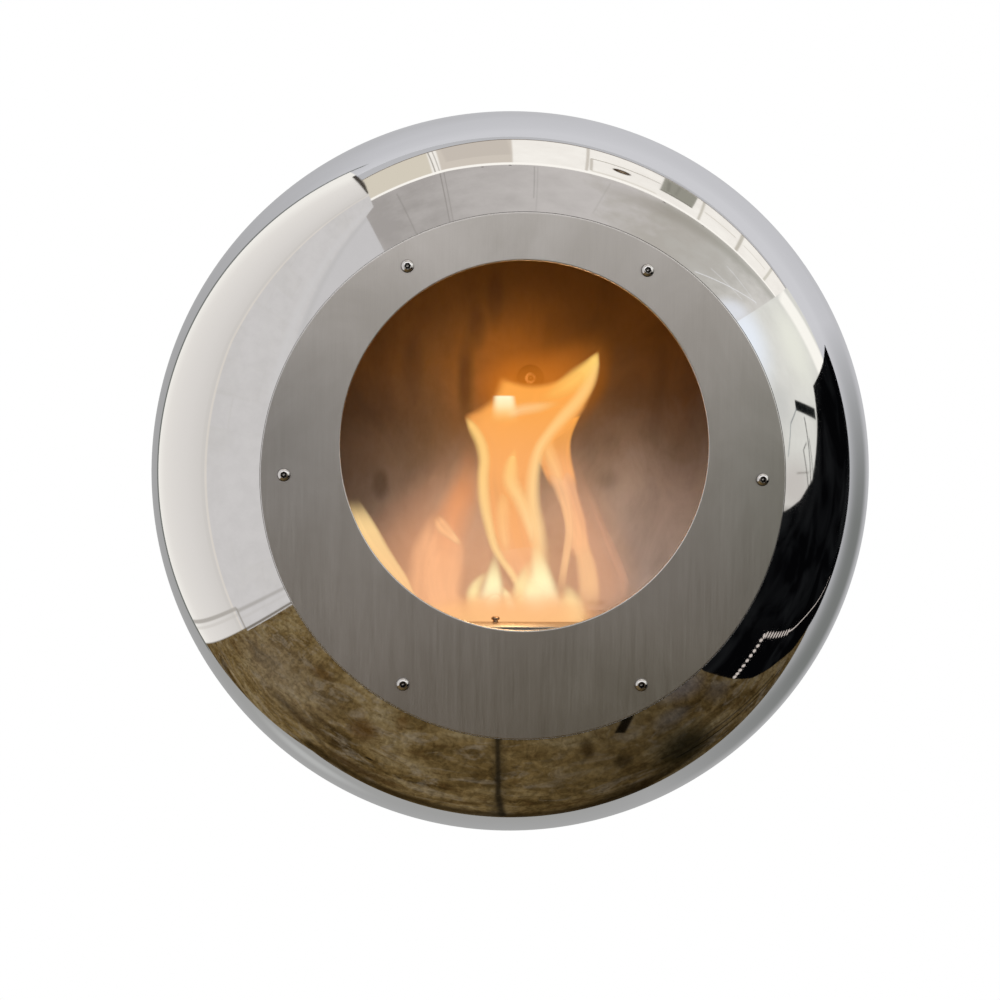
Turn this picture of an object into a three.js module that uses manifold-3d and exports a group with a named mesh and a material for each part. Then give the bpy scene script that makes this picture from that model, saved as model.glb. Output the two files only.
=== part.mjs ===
// A wall-hung ethanol fireplace: a polished round pod with a firebox behind a brushed front plate.
// Millimetres, +Z up. The wall is the plane Y = 0, the pod stands off it towards -Y, and +X is to
// the right of someone who faces the pod. The origin is the middle of the bracket's wall face.
import * as THREE from "three";
import { mergeVertices } from "three/addons/utils/BufferGeometryUtils.js";
import Module from "manifold-3d";

const wasm = await Module();
wasm.setup();

// ---- Sizes that can be set by themselves ----

// Pod: two spun bowls that meet at the widest circle.
const podRadius = 300;
const frontBowlDepth = 140; // half-depth of the front ellipse, before the plate cuts it
const rearLength = 200; // widest circle to wall
const shellWall = 1.5;
const wallStandOff = 2; // rear rim to wall
const rearRimRadius = 169.5; // where the rear bowl stops short of the wall
const rearLipWidth = 19.5;
const seamGap = 0.6;
const ringHalfWidth = 12;
const ringWall = 4;

// Front plate, and the landing of the front bowl that it is screwed to.
const plateRadius = 210;
const plateThickness = 3;
const mouthRadius = 147;
const mouthRise = 24.5; // centre of the plate's opening above the pod's axis
const plateScrewCount = 6;
const plateScrewInset = 19; // edge of the plate to the circle of its screws
const landingInset = 13; // circle of the screws to the landing's inner edge

// M6 fasteners.
const screwDiameter = 6;
const screwHeadDiameter = 10.5;
const screwHeadHeight = 3.3;
const socketAcrossFlats = 4;
const socketDepth = 2;
const plateScrewLength = 14;
const nutAcrossFlats = 10;
const nutHeight = 5;

// Firebox.
const linerNutGap = 3.2; // corners of the plate nuts to the inside of the liner
const linerWall = 1.5;
const linerFlangeWidth = 10.5;
const backPanelSetBack = 113.5; // widest circle to the front face of the back panel
const backPanelThickness = 2;
const deckDrop = 2.5; // top of the hearth deck below the lowest point of the plate's opening
const deckThickness = 1.5;
const deckFrontGap = 4; // plate to deck
const supportLeg = 19;
const supportWall = 1.5;
const supportInset = 8; // ends of the deck supports from the ends of the deck

// Burner: a tray of ceramic wool that drops into a well under the deck.
const trayLength = 184;
const trayWidth = 102;
const trayWall = 1.5;
const burnerFrontGap = 5; // plate to the front edge of the burner's top
const sideFlange = 18;
const frontFlange = 20;
const backFlange = 9;
const flameSlotLength = 110;
const flameSlotWidth = 40;
const topThickness = 1.5;
const woolHeadspace = 8.5; // top of the hearth deck down to the wool
const screenThickness = 1;
const screenSlotCount = 9;
const screenSlotWidth = 8;
const screenSlotLength = 78;
const wellWall = 1.2;
const wellClearance = 3;
const wellLinerGap = 4; // lower corners of the well to the liner
const fingerHoleRadius = 9;
const fingerHoleInset = 9; // edge of the hole to the end of the tray

// Damper: a flat lid on the burner's top that is pushed back over the flame slot.
const damperEndOverlap = 5; // past each end of the flame slot
const damperSideOverlap = 3; // past each long side of the flame slot
const damperThickness = 1.5;
const damperParkGap = 2; // flame slot to parked damper
const railWall = 1.5;
const railFoot = 8;
const railLip = 4;
const knobRadius = 3.5;
const knobHeight = 4.5;
const knobOffset = -18; // to the left of the middle
const knobInset = 4; // from the rear edge of the damper

// Wall bracket and hanger.
const bracketWidth = 200;
const bracketWall = 3;
const bracketBottom = -40;
const shelfHeight = 60;
const upstandGap = 18.5; // back panel to the front face of the upstand
const upstandTop = 95;
const gussetDrop = 55;
const wallHoleDiameter = 7;
const wallHoleSpacing = 150;
const wallHoleHeights = [-20, 35];
const hangerWidth = 180;
const hangerWall = 3;
const hangerBottom = 70;
const hangerRearGap = 10; // upstand to the hanger's rear leg
const lockBoltOffset = 24; // to the right of the middle
const lockBoltHeight = 80;
const lockBoltLength = 32;
const lockWasherDiameter = 24;
const lockWasherThickness = 1.5;

// Four stays join the back panel to the lip of the rear bowl.
const stayCount = 4;
const stayRimGap = 2.5; // outside of the stay to the rear rim, and its foot to the lip's edge
const stayWidth = 30;
const stayWall = 2;
const stayFrontFoot = 25;

// Clearances.
const fitGap = 0.3; // between pieces that seat or slide on each other
const holeGap = 0.6; // on the diameter of a screw hole
const threadGap = 0.3; // on the diameter of a nut's bore
const plateGap = 0.4; // round the plate

const roundSegments = 96;
const smallSegments = 20;
const bowlSteps = 12;

// ---- Places that follow from the sizes ----

const plateScrewCircle = plateRadius - plateScrewInset;
const landingInnerRadius = plateScrewCircle - landingInset;
const linerRadius = plateScrewCircle + nutAcrossFlats / Math.sqrt(3) + linerNutGap;
const plateFace = frontBowlDepth * Math.sqrt(1 - (plateRadius / podRadius) ** 2);
const plateBack = plateFace - plateThickness;
const landingBack = plateBack - shellWall;
const panelFace = -backPanelSetBack;
const panelBack = panelFace - backPanelThickness;
const rearRim = wallStandOff - rearLength;
const rearBowlDepth = -rearRim / Math.sqrt(1 - (rearRimRadius / podRadius) ** 2);
const rearLipInner = rearRimRadius - rearLipWidth;
const stayRadius = rearRimRadius - stayRimGap - stayWall;
const shelfReach = rearLength + panelBack - upstandGap; // wall to the front of the upstand
const mouthBottom = mouthRise - mouthRadius;
const deckTop = mouthBottom - deckDrop;
const deckBottom = deckTop - deckThickness;
const deckFront = plateBack - deckFrontGap;
const flangeTop = deckTop + trayWall;
const topFace = flangeTop + topThickness;
const woolTop = deckTop - woolHeadspace;

// The burner is laid out backwards from the plate, and downwards to the room in the liner.
const burnerFront = plateBack - burnerFrontGap;
const trayFront = burnerFront - frontFlange;
const trayBack = trayFront - trayWidth;
const burnerBack = trayBack - backFlange;
const damperDepth = flameSlotWidth + 2 * damperSideOverlap;
const damperBack = burnerFront - damperDepth;
const flameSlotFront = damperBack - damperParkGap;
const flameSlotBack = flameSlotFront - flameSlotWidth;
const damperHalfLength = flameSlotLength / 2 + damperEndOverlap;
const damperBottom = topFace + fitGap;
const damperTop = damperBottom + damperThickness;
const wellHalfLength = trayLength / 2 + wellClearance;
const wellBottom = -Math.sqrt(
  (linerRadius - wellLinerGap) ** 2 - (wellHalfLength + wellWall) ** 2,
);
const trayBottom = wellBottom + wellWall + wellClearance;

// A distance ahead of the widest circle, as a world Y.
const ahead = (p) => -(rearLength + p);

// ---- Drawing helpers ----

// A three.js geometry as a manifold-3d solid.
function solidOf(geometry) {
  const bare = geometry.clone();
  bare.deleteAttribute("normal");
  bare.deleteAttribute("uv");
  const merged = mergeVertices(bare, 1e-4);
  return new wasm.Manifold(
    new wasm.Mesh({
      numProp: 3,
      vertProperties: merged.attributes.position.array,
      triVerts: new Uint32Array(merged.index.array),
    }),
  );
}

// A closed [radius, Y] profile turned round the pod's axis, whichever way the profile runs.
function turned(profile) {
  const points = [...profile, profile[0]].map(([r, y]) => new THREE.Vector2(r, y));
  const made = solidOf(new THREE.LatheGeometry(points, roundSegments));
  return made.volume() > 0
    ? made
    : solidOf(new THREE.LatheGeometry(points.reverse(), roundSegments));
}

function outlineOf(points) {
  return new THREE.Shape(points.map(([x, y]) => new THREE.Vector2(x, y)));
}

// An [ahead, Z] outline pushed along X from one place to another.
function acrossX(points, fromX, toX) {
  const geometry = new THREE.ExtrudeGeometry(outlineOf(points), {
    depth: toX - fromX,
    bevelEnabled: false,
  });
  // The outline's own axes are laid on -Y and Z, and its depth on -X.
  const basis = new THREE.Matrix4().makeBasis(
    new THREE.Vector3(0, -1, 0),
    new THREE.Vector3(0, 0, 1),
    new THREE.Vector3(-1, 0, 0),
  );
  geometry.applyMatrix4(basis);
  geometry.translate(toX, -rearLength, 0);
  return solidOf(geometry);
}

// An [X, Z] outline pushed backwards from one distance ahead to a smaller one.
function alongY(shape, fromAhead, toAhead, curveSegments = smallSegments) {
  const geometry = new THREE.ExtrudeGeometry(shape, {
    depth: fromAhead - toAhead,
    bevelEnabled: false,
    curveSegments,
  });
  geometry.rotateX(Math.PI / 2);
  geometry.translate(0, ahead(toAhead), 0);
  return solidOf(geometry);
}

// An upright prism of an [X, ahead] outline between two heights.
function upright(shape, fromZ, toZ, curveSegments = smallSegments) {
  const geometry = new THREE.ExtrudeGeometry(shape, {
    depth: toZ - fromZ,
    bevelEnabled: false,
    curveSegments,
  });
  geometry.rotateX(Math.PI);
  geometry.translate(0, -rearLength, toZ);
  return solidOf(geometry);
}

function rectangle(x0, x1, y0, y1) {
  return outlineOf([
    [x0, y0],
    [x1, y0],
    [x1, y1],
    [x0, y1],
  ]);
}

function circle(x, y, radius) {
  const shape = new THREE.Shape();
  shape.absarc(x, y, radius, 0, 2 * Math.PI, false);
  return shape;
}

// A slot of a given width with round ends, from [x, z0] up to [x, z1].
function roundSlot(x, z0, z1, width) {
  const shape = new THREE.Shape();
  shape.absarc(x, z0, width / 2, Math.PI, 2 * Math.PI, false);
  shape.absarc(x, z1, width / 2, 0, Math.PI, false);
  return shape;
}

// A box given by its X range, its range ahead of the widest circle, and its Z range.
function box([x0, x1], [p0, p1], [z0, z1]) {
  return upright(rectangle(x0, x1, p0, p1), z0, z1);
}

// A round bar along Y between two distances ahead.
function bar(x, z, radius, fromAhead, toAhead, segments = smallSegments) {
  return alongY(circle(x, z, radius), fromAhead, toAhead, segments);
}

// A six-sided bar along Y.
function hexBar(x, z, acrossFlats, fromAhead, toAhead) {
  const corner = acrossFlats / Math.sqrt(3);
  const points = Array.from({ length: 6 }, (_, i) => {
    const turn = (i * Math.PI) / 3;
    return [x + corner * Math.cos(turn), z + corner * Math.sin(turn)];
  });
  return alongY(outlineOf(points), fromAhead, toAhead);
}

// Radius of an ellipse of the pod's radius at a distance from the widest circle.
function bowlRadius(p, depth, inset = 0) {
  return (podRadius - inset) * Math.sqrt(1 - (p / (depth - inset)) ** 2);
}

// Points of a bowl's section from the widest circle to another distance, evenly spaced in angle.
function bowlArc(fromP, toP, depth, inset, steps) {
  const start = Math.asin(fromP / (depth - inset));
  const end = Math.asin(toP / (depth - inset));
  return Array.from({ length: steps + 1 }, (_, i) => {
    const p = (depth - inset) * Math.sin(start + ((end - start) * i) / steps);
    return [bowlRadius(p, depth, inset), ahead(p)];
  });
}

// ---- Materials ----

const polished = () =>
  new THREE.MeshStandardMaterial({ color: 0xd9dadb, roughness: 0.05, metalness: 1 });
const brushed = () =>
  new THREE.MeshStandardMaterial({ color: 0xa9a7a3, roughness: 0.38, metalness: 1 });
const fastener = () =>
  new THREE.MeshStandardMaterial({ color: 0xcfd0d2, roughness: 0.16, metalness: 1 });
const heatTinted = () =>
  new THREE.MeshStandardMaterial({ color: 0x6b4a33, roughness: 0.42, metalness: 1 });
const sheetSteel = () =>
  new THREE.MeshStandardMaterial({ color: 0x8d8d8c, roughness: 0.45, metalness: 1 });
const burnerSteel = () =>
  new THREE.MeshStandardMaterial({ color: 0x9a8f84, roughness: 0.35, metalness: 1 });
const paintedBlack = () =>
  new THREE.MeshStandardMaterial({ color: 0x1c1c1d, roughness: 0.55, metalness: 0 });
const ceramicWool = () =>
  new THREE.MeshStandardMaterial({ color: 0xe6e1d6, roughness: 0.95, metalness: 0 });

// ---- Pod shells ----

function frontShell() {
  const seat = plateRadius + plateGap;
  const rim = frontBowlDepth * Math.sqrt(1 - (seat / podRadius) ** 2);
  const outside = bowlArc(seamGap / 2, rim, frontBowlDepth, 0, bowlSteps);
  const inside = bowlArc(seamGap / 2, landingBack, frontBowlDepth, shellWall, bowlSteps).reverse();
  const profile = [
    ...outside,
    [seat, ahead(plateBack)],
    [landingInnerRadius, ahead(plateBack)],
    [landingInnerRadius, ahead(landingBack)],
    ...inside,
  ];
  return plateScrewPlaces().reduce(
    (shell, [x, z]) => shell.subtract(screwHole(x, z, plateFace, landingBack - 1)),
    turned(profile),
  );
}

function rearShell() {
  const lipFace = rearRim + shellWall;
  const outside = bowlArc(-seamGap / 2, rearRim, rearBowlDepth, 0, bowlSteps);
  const inside = bowlArc(-seamGap / 2, lipFace, rearBowlDepth, shellWall, bowlSteps).reverse();
  return turned([
    ...outside,
    [rearLipInner, ahead(rearRim)],
    [rearLipInner, ahead(lipFace)],
    ...inside,
  ]);
}

// The hoop inside the seam that both bowls are joined to.
function joiningRing() {
  const under = (p) =>
    bowlRadius(p, p > 0 ? frontBowlDepth : rearBowlDepth, shellWall) - fitGap;
  const places = [-1, -0.5, 0, 0.5, 1].map((share) => share * ringHalfWidth);
  const outside = places.map((p) => [under(p), ahead(p)]);
  const inside = [...places].reverse().map((p) => [under(p) - ringWall, ahead(p)]);
  return turned([...outside, ...inside]);
}

// ---- Front plate and its screws ----

function plateScrewPlaces() {
  return Array.from({ length: plateScrewCount }, (_, i) => {
    const turn = (i * 2 * Math.PI) / plateScrewCount;
    return [plateScrewCircle * Math.cos(turn), plateScrewCircle * Math.sin(turn)];
  });
}

function screwHole(x, z, fromAhead, toAhead) {
  return bar(x, z, (screwDiameter + holeGap) / 2, fromAhead, toAhead);
}

function frontPlate() {
  const disc = bar(0, 0, plateRadius, plateFace, plateBack, roundSegments);
  const mouth = bar(0, mouthRise, mouthRadius, plateFace + 1, plateBack - 1, roundSegments);
  return plateScrewPlaces().reduce(
    (plate, [x, z]) => plate.subtract(screwHole(x, z, plateFace + 1, plateBack - 1)),
    disc.subtract(mouth),
  );
}

// A button-head screw along Y with its head ahead of the seat: a domed head with a hex socket.
function buttonScrew(x, z, seat, length) {
  const headRadius = screwHeadDiameter / 2;
  const crownRadius = socketAcrossFlats * 0.62;
  const dome = Array.from({ length: 6 }, (_, i) => {
    const turn = (i / 5) * (Math.PI / 2);
    const r = crownRadius + (headRadius - crownRadius) * Math.cos(turn);
    return [r, screwHeadHeight * (0.12 + 0.88 * Math.sin(turn))];
  });
  const profile = [
    [0, -length],
    [screwDiameter / 2, -length],
    [screwDiameter / 2, 0],
    [headRadius, 0],
    ...dome,
    [0, screwHeadHeight],
  ].map(([r, rise]) => new THREE.Vector2(r, -rise));
  const geometry = new THREE.LatheGeometry(profile.reverse(), smallSegments);
  geometry.translate(x, ahead(seat), z);
  const socket = hexBar(
    x,
    z,
    socketAcrossFlats,
    seat + screwHeadHeight + 1,
    seat + screwHeadHeight - socketDepth,
  );
  return solidOf(geometry).subtract(socket);
}

function hexNut(x, z, seat) {
  const bore = bar(x, z, (screwDiameter + threadGap) / 2, seat + 1, seat - nutHeight - 1);
  return hexBar(x, z, nutAcrossFlats, seat, seat - nutHeight).subtract(bore);
}

// ---- Firebox ----

function fireboxLiner() {
  const outside = linerRadius + linerWall;
  const rim = outside + linerFlangeWidth;
  return turned([
    [linerRadius, ahead(landingBack)],
    [rim, ahead(landingBack)],
    [rim, ahead(landingBack - linerWall)],
    [outside, ahead(landingBack - linerWall)],
    [outside, ahead(panelFace)],
    [linerRadius, ahead(panelFace)],
  ]);
}

function fireboxBack() {
  return bar(0, 0, linerRadius + linerWall, panelFace, panelBack, roundSegments).subtract(
    screwHole(lockBoltOffset, lockBoltHeight, panelFace + 1, panelBack - 1),
  );
}

// Half the width inside the liner at a height, less the fit.
function chord(z) {
  return Math.sqrt((linerRadius - fitGap) ** 2 - z ** 2) - fitGap;
}

function hearthDeck() {
  const half = chord(deckBottom);
  const plate = box([-half, half], [panelFace + fitGap, deckFront], [deckBottom, deckTop]);
  const reach = trayLength / 2 + fitGap * 3;
  const hole = box(
    [-reach, reach],
    [trayBack - fitGap * 3, trayFront + fitGap * 3],
    [deckBottom - 1, deckTop + 1],
  );
  return plate.subtract(hole);
}

// An angle along each side of the deck, welded to the liner.
function deckSupport(side) {
  const outer = chord(deckBottom - supportWall);
  const inner = outer - supportLeg;
  const foot = -Math.sqrt((linerRadius - fitGap) ** 2 - (inner + supportWall) ** 2) + fitGap;
  const angle = outlineOf(
    [
      [inner, deckBottom],
      [outer, deckBottom],
      [outer, deckBottom - supportWall],
      [inner + supportWall, deckBottom - supportWall],
      [inner + supportWall, foot],
      [inner, foot],
    ].map(([x, z]) => [side * x, z]),
  );
  return alongY(angle, deckFront - supportInset, panelFace + supportInset);
}

// The well that catches spills and holds the burner's tray.
function burnerWell() {
  const front = trayFront + wellClearance;
  const back = trayBack - wellClearance;
  const outside = box(
    [-wellHalfLength - wellWall, wellHalfLength + wellWall],
    [back - wellWall, front + wellWall],
    [wellBottom, deckBottom],
  );
  const inside = box(
    [-wellHalfLength, wellHalfLength],
    [back, front],
    [wellBottom + wellWall, deckBottom + 1],
  );
  return outside.subtract(inside);
}

// ---- Burner ----

function burnerTray() {
  const reach = trayLength / 2;
  const flange = box(
    [-reach - sideFlange, reach + sideFlange],
    [burnerBack, burnerFront],
    [deckTop, flangeTop],
  );
  const outside = box([-reach, reach], [trayBack, trayFront], [trayBottom, deckTop]);
  const inside = box(
    [-reach + trayWall, reach - trayWall],
    [trayBack + trayWall, trayFront - trayWall],
    [trayBottom + trayWall, flangeTop + 1],
  );
  return flange.add(outside).subtract(inside);
}

// The burner's top plate: the flame slot, and a round hole at each end to lift it by.
function burnerTop() {
  const reach = trayLength / 2 + sideFlange;
  const middle = (trayFront + trayBack) / 2;
  const holePlace = trayLength / 2 - fingerHoleRadius - fingerHoleInset;
  const plate = box([-reach, reach], [burnerBack, burnerFront], [flangeTop, topFace]);
  const slot = box(
    [-flameSlotLength / 2, flameSlotLength / 2],
    [flameSlotBack, flameSlotFront],
    [flangeTop - 1, topFace + 1],
  );
  return [-holePlace, holePlace].reduce(
    (left, x) =>
      left.subtract(upright(circle(x, middle, fingerHoleRadius), flangeTop - 1, topFace + 1)),
    plate.subtract(slot),
  );
}

function woolPad() {
  const reach = trayLength / 2 - trayWall - fitGap;
  return box(
    [-reach, reach],
    [trayBack + trayWall + fitGap, trayFront - trayWall - fitGap],
    [trayBottom + trayWall, woolTop],
  );
}

// The slotted sheet that holds the wool down.
function padScreen() {
  const reach = trayLength / 2 - trayWall - fitGap;
  const front = trayFront - trayWall - fitGap;
  const back = trayBack + trayWall + fitGap;
  const sheet = box([-reach, reach], [back, front], [woolTop, woolTop + screenThickness]);
  const pitch = (2 * reach) / screenSlotCount;
  const middle = (front + back) / 2;
  return Array.from({ length: screenSlotCount }, (_, i) => -reach + pitch * (i + 0.5)).reduce(
    (left, x) =>
      left.subtract(
        box(
          [x - screenSlotWidth / 2, x + screenSlotWidth / 2],
          [middle - screenSlotLength / 2, middle + screenSlotLength / 2],
          [woolTop - 1, woolTop + screenThickness + 1],
        ),
      ),
    sheet,
  );
}

function damperLid() {
  return box(
    [-damperHalfLength, damperHalfLength],
    [damperBack, burnerFront],
    [damperBottom, damperTop],
  );
}

function damperKnob() {
  const waist = knobRadius * 0.6;
  const profile = [
    [0, 0],
    [waist, 0],
    [waist, knobHeight * 0.35],
    [knobRadius, knobHeight * 0.5],
    [knobRadius * 0.9, knobHeight * 0.78],
    [knobRadius * 0.55, knobHeight * 0.95],
    [0, knobHeight],
  ].map(([r, rise]) => new THREE.Vector2(r, rise));
  const geometry = new THREE.LatheGeometry(profile, smallSegments);
  geometry.rotateX(Math.PI / 2);
  geometry.translate(knobOffset, ahead(damperBack + knobInset), damperTop);
  return solidOf(geometry);
}

// A folded strip beside the damper: a foot on the burner's top, a web, and a lip over the lid.
function damperRail(side) {
  const web = damperHalfLength + fitGap;
  const lip = damperTop + fitGap;
  const section = outlineOf(
    [
      [web, topFace],
      [web + railFoot, topFace],
      [web + railFoot, topFace + railWall],
      [web + railWall, topFace + railWall],
      [web + railWall, lip + railWall],
      [web - railLip, lip + railWall],
      [web - railLip, lip],
      [web, lip],
    ].map(([x, z]) => [side * x, z]),
  );
  return alongY(section, burnerFront, flameSlotBack - damperSideOverlap);
}

// ---- Wall bracket, hanger and lock ----

// A wall plate with a shelf folded forwards and an upstand folded up, and a cheek at each side.
function wallBracket() {
  const half = bracketWidth / 2;
  const wall = -rearLength;
  const section = [
    [wall, bracketBottom],
    [wall + bracketWall, bracketBottom],
    [wall + bracketWall, shelfHeight],
    [wall + shelfReach, shelfHeight],
    [wall + shelfReach, upstandTop],
    [wall + shelfReach - bracketWall, upstandTop],
    [wall + shelfReach - bracketWall, shelfHeight + bracketWall],
    [wall, shelfHeight + bracketWall],
  ];
  const cheek = [
    [wall + bracketWall - 1, shelfHeight - gussetDrop],
    [wall + shelfReach - bracketWall, shelfHeight],
    [wall + shelfReach - bracketWall, shelfHeight + 1],
    [wall + bracketWall - 1, shelfHeight + 1],
  ];
  const slotWidth = screwDiameter + 2 * holeGap;
  const slot = alongY(
    roundSlot(lockBoltOffset, lockBoltHeight, upstandTop + slotWidth, slotWidth),
    wall + shelfReach + 1,
    wall + shelfReach - bracketWall - 1,
  );
  const holes = wallHoleHeights.flatMap((z) =>
    [-wallHoleSpacing / 2, wallHoleSpacing / 2].map((x) =>
      bar(x, z, wallHoleDiameter / 2, wall + bracketWall + 1, wall - 1),
    ),
  );
  return holes.reduce(
    (left, hole) => left.subtract(hole),
    acrossX(section, -half, half)
      .add(acrossX(cheek, -half, -half + bracketWall))
      .add(acrossX(cheek, half - bracketWall, half))
      .subtract(slot),
  );
}

// The hook on the back of the firebox that drops over the bracket's upstand.
function hanger() {
  const half = hangerWidth / 2;
  const rear = -rearLength + shelfReach - bracketWall - hangerRearGap;
  const underside = upstandTop + fitGap;
  const section = [
    [panelBack, hangerBottom],
    [panelBack, underside + hangerWall],
    [rear - hangerWall, underside + hangerWall],
    [rear - hangerWall, hangerBottom],
    [rear, hangerBottom],
    [rear, underside],
    [panelBack - hangerWall, underside],
    [panelBack - hangerWall, hangerBottom],
  ];
  return acrossX(section, -half, half).subtract(
    screwHole(lockBoltOffset, lockBoltHeight, panelBack + 1, panelBack - hangerWall - 1),
  );
}

function lockWasher() {
  const seat = panelFace + lockWasherThickness;
  return bar(lockBoltOffset, lockBoltHeight, lockWasherDiameter / 2, seat, panelFace).subtract(
    screwHole(lockBoltOffset, lockBoltHeight, seat + 1, panelFace - 1),
  );
}

function lockBolt() {
  const seat = panelFace + lockWasherThickness;
  return buttonScrew(lockBoltOffset, lockBoltHeight, seat, lockBoltLength);
}

function lockNut() {
  const seat = -rearLength + shelfReach - bracketWall - fitGap;
  return hexNut(lockBoltOffset, lockBoltHeight, seat);
}

// A Z-shaped strip: a foot on the back panel, a web along the axis, and a foot on the rear lip.
function rearStay(index) {
  const lipFace = rearRim + shellWall;
  const section = outlineOf([
    [stayRadius, ahead(panelBack)],
    [stayRadius, ahead(lipFace + stayWall)],
    [rearLipInner + stayRimGap, ahead(lipFace + stayWall)],
    [rearLipInner + stayRimGap, ahead(lipFace)],
    [stayRadius + stayWall, ahead(lipFace)],
    [stayRadius + stayWall, ahead(panelBack - stayWall)],
    [stayRadius + stayFrontFoot, ahead(panelBack - stayWall)],
    [stayRadius + stayFrontFoot, ahead(panelBack)],
  ]);
  const geometry = new THREE.ExtrudeGeometry(section, { depth: stayWidth, bevelEnabled: false });
  geometry.translate(0, 0, -stayWidth / 2);
  geometry.rotateY(((index + 0.5) * 2 * Math.PI) / stayCount);
  return solidOf(geometry);
}

// ---- The assembly ----

const fireplace = new THREE.Group();
fireplace.name = "hanging_fireplace";

function add(name, solid, material) {
  const mesh = solid.getMesh();
  const geometry = new THREE.BufferGeometry();
  geometry.setAttribute("position", new THREE.BufferAttribute(mesh.vertProperties, 3));
  geometry.setIndex(new THREE.BufferAttribute(mesh.triVerts, 1));
  const flat = geometry.toNonIndexed();
  flat.computeVertexNormals();
  const made = new THREE.Mesh(flat, material);
  made.name = name;
  fireplace.add(made);
}

add("front_shell", frontShell(), polished());
add("rear_shell", rearShell(), polished());
add("joining_ring", joiningRing(), sheetSteel());
add("front_plate", frontPlate(), brushed());
plateScrewPlaces().forEach(([x, z], i) => {
  add(`plate_screw_${i + 1}`, buttonScrew(x, z, plateFace, plateScrewLength), fastener());
  add(`plate_nut_${i + 1}`, hexNut(x, z, landingBack), fastener());
});
add("firebox_liner", fireboxLiner(), heatTinted());
add("firebox_back", fireboxBack(), heatTinted());
add("hearth_deck", hearthDeck(), burnerSteel());
add("deck_support_left", deckSupport(-1), sheetSteel());
add("deck_support_right", deckSupport(1), sheetSteel());
add("burner_well", burnerWell(), sheetSteel());
add("burner_tray", burnerTray(), burnerSteel());
add("burner_top", burnerTop(), burnerSteel());
add("wool_pad", woolPad(), ceramicWool());
add("pad_screen", padScreen(), sheetSteel());
add("damper_rail_left", damperRail(-1), burnerSteel());
add("damper_rail_right", damperRail(1), burnerSteel());
add("damper_lid", damperLid(), burnerSteel());
add("damper_knob", damperKnob(), fastener());
add("wall_bracket", wallBracket(), paintedBlack());
add("hanger", hanger(), sheetSteel());
add("lock_washer", lockWasher(), fastener());
add("lock_bolt", lockBolt(), fastener());
add("lock_nut", lockNut(), fastener());
for (let i = 0; i < stayCount; i++) add(`rear_stay_${i + 1}`, rearStay(i), sheetSteel());

export default fireplace;
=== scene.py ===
import math

import bmesh
import bpy
import numpy as np
from mathutils import Matrix, Vector


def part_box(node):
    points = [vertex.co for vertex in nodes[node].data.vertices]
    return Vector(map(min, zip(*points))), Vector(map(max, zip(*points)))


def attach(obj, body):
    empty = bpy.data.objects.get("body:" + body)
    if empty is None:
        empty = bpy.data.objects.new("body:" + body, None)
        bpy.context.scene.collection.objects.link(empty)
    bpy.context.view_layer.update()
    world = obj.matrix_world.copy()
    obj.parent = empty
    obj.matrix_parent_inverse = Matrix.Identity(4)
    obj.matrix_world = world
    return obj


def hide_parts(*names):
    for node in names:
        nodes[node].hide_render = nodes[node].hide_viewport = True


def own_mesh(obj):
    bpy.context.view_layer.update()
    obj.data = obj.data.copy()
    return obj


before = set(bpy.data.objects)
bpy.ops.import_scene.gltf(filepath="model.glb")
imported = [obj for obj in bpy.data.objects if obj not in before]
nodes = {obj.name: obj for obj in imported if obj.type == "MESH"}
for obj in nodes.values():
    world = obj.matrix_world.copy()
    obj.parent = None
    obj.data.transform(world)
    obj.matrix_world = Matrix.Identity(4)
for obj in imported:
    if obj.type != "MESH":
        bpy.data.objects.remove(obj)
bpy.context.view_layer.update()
print("frame loaded:", len(nodes), "nodes")

mm = 0.001


camera = dict(
    place=(-0.1846, -2.2, 0.0651),
    target=(-0.0112, -0.2, -0.0228),
    focalPixels=2404.3,
    imageSide=1000,
    sensor=36,
    rollDegrees=0.734,
)


# Forward is target minus place; right is forward x Z; both are turned about forward by the roll.
def cameraAxes():
    forward = np.subtract(camera["target"], camera["place"])
    forward = forward / np.linalg.norm(forward)
    level = np.cross(forward, (0, 0, 1))
    level = level / np.linalg.norm(level)
    upright = np.cross(level, forward)
    roll = math.radians(camera["rollDegrees"])
    right = level * math.cos(roll) + upright * math.sin(roll)
    up = upright * math.cos(roll) - level * math.sin(roll)
    return right, up, forward


def makeCamera():
    right, up, forward = cameraAxes()
    data = bpy.data.cameras.new("photoCamera")
    data.sensor_width = camera["sensor"]
    data.lens = camera["focalPixels"] * camera["sensor"] / camera["imageSide"]
    obj = bpy.data.objects.new("photoCamera", data)
    turn = Matrix((right, up, -forward)).transposed().to_4x4()
    obj.matrix_world = Matrix.Translation(camera["place"]) @ turn
    bpy.context.scene.collection.objects.link(obj)
    bpy.context.scene.camera = obj


# The ray through a pixel, cut by the plane y = planeY: place + ray * (planeY - place.y) / ray.y.
def onPlane(pixels, planeY):
    right, up, forward = cameraAxes()
    middle = camera["imageSide"] / 2
    pixels = np.asarray(pixels, float)
    rays = (
        forward * camera["focalPixels"]
        + right * (pixels[..., :1] - middle)
        - up * (pixels[..., 1:] - middle)
    )
    reach = (planeY - camera["place"][1]) / rays[..., 1:2]
    return np.array(camera["place"]) + rays * reach


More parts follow.
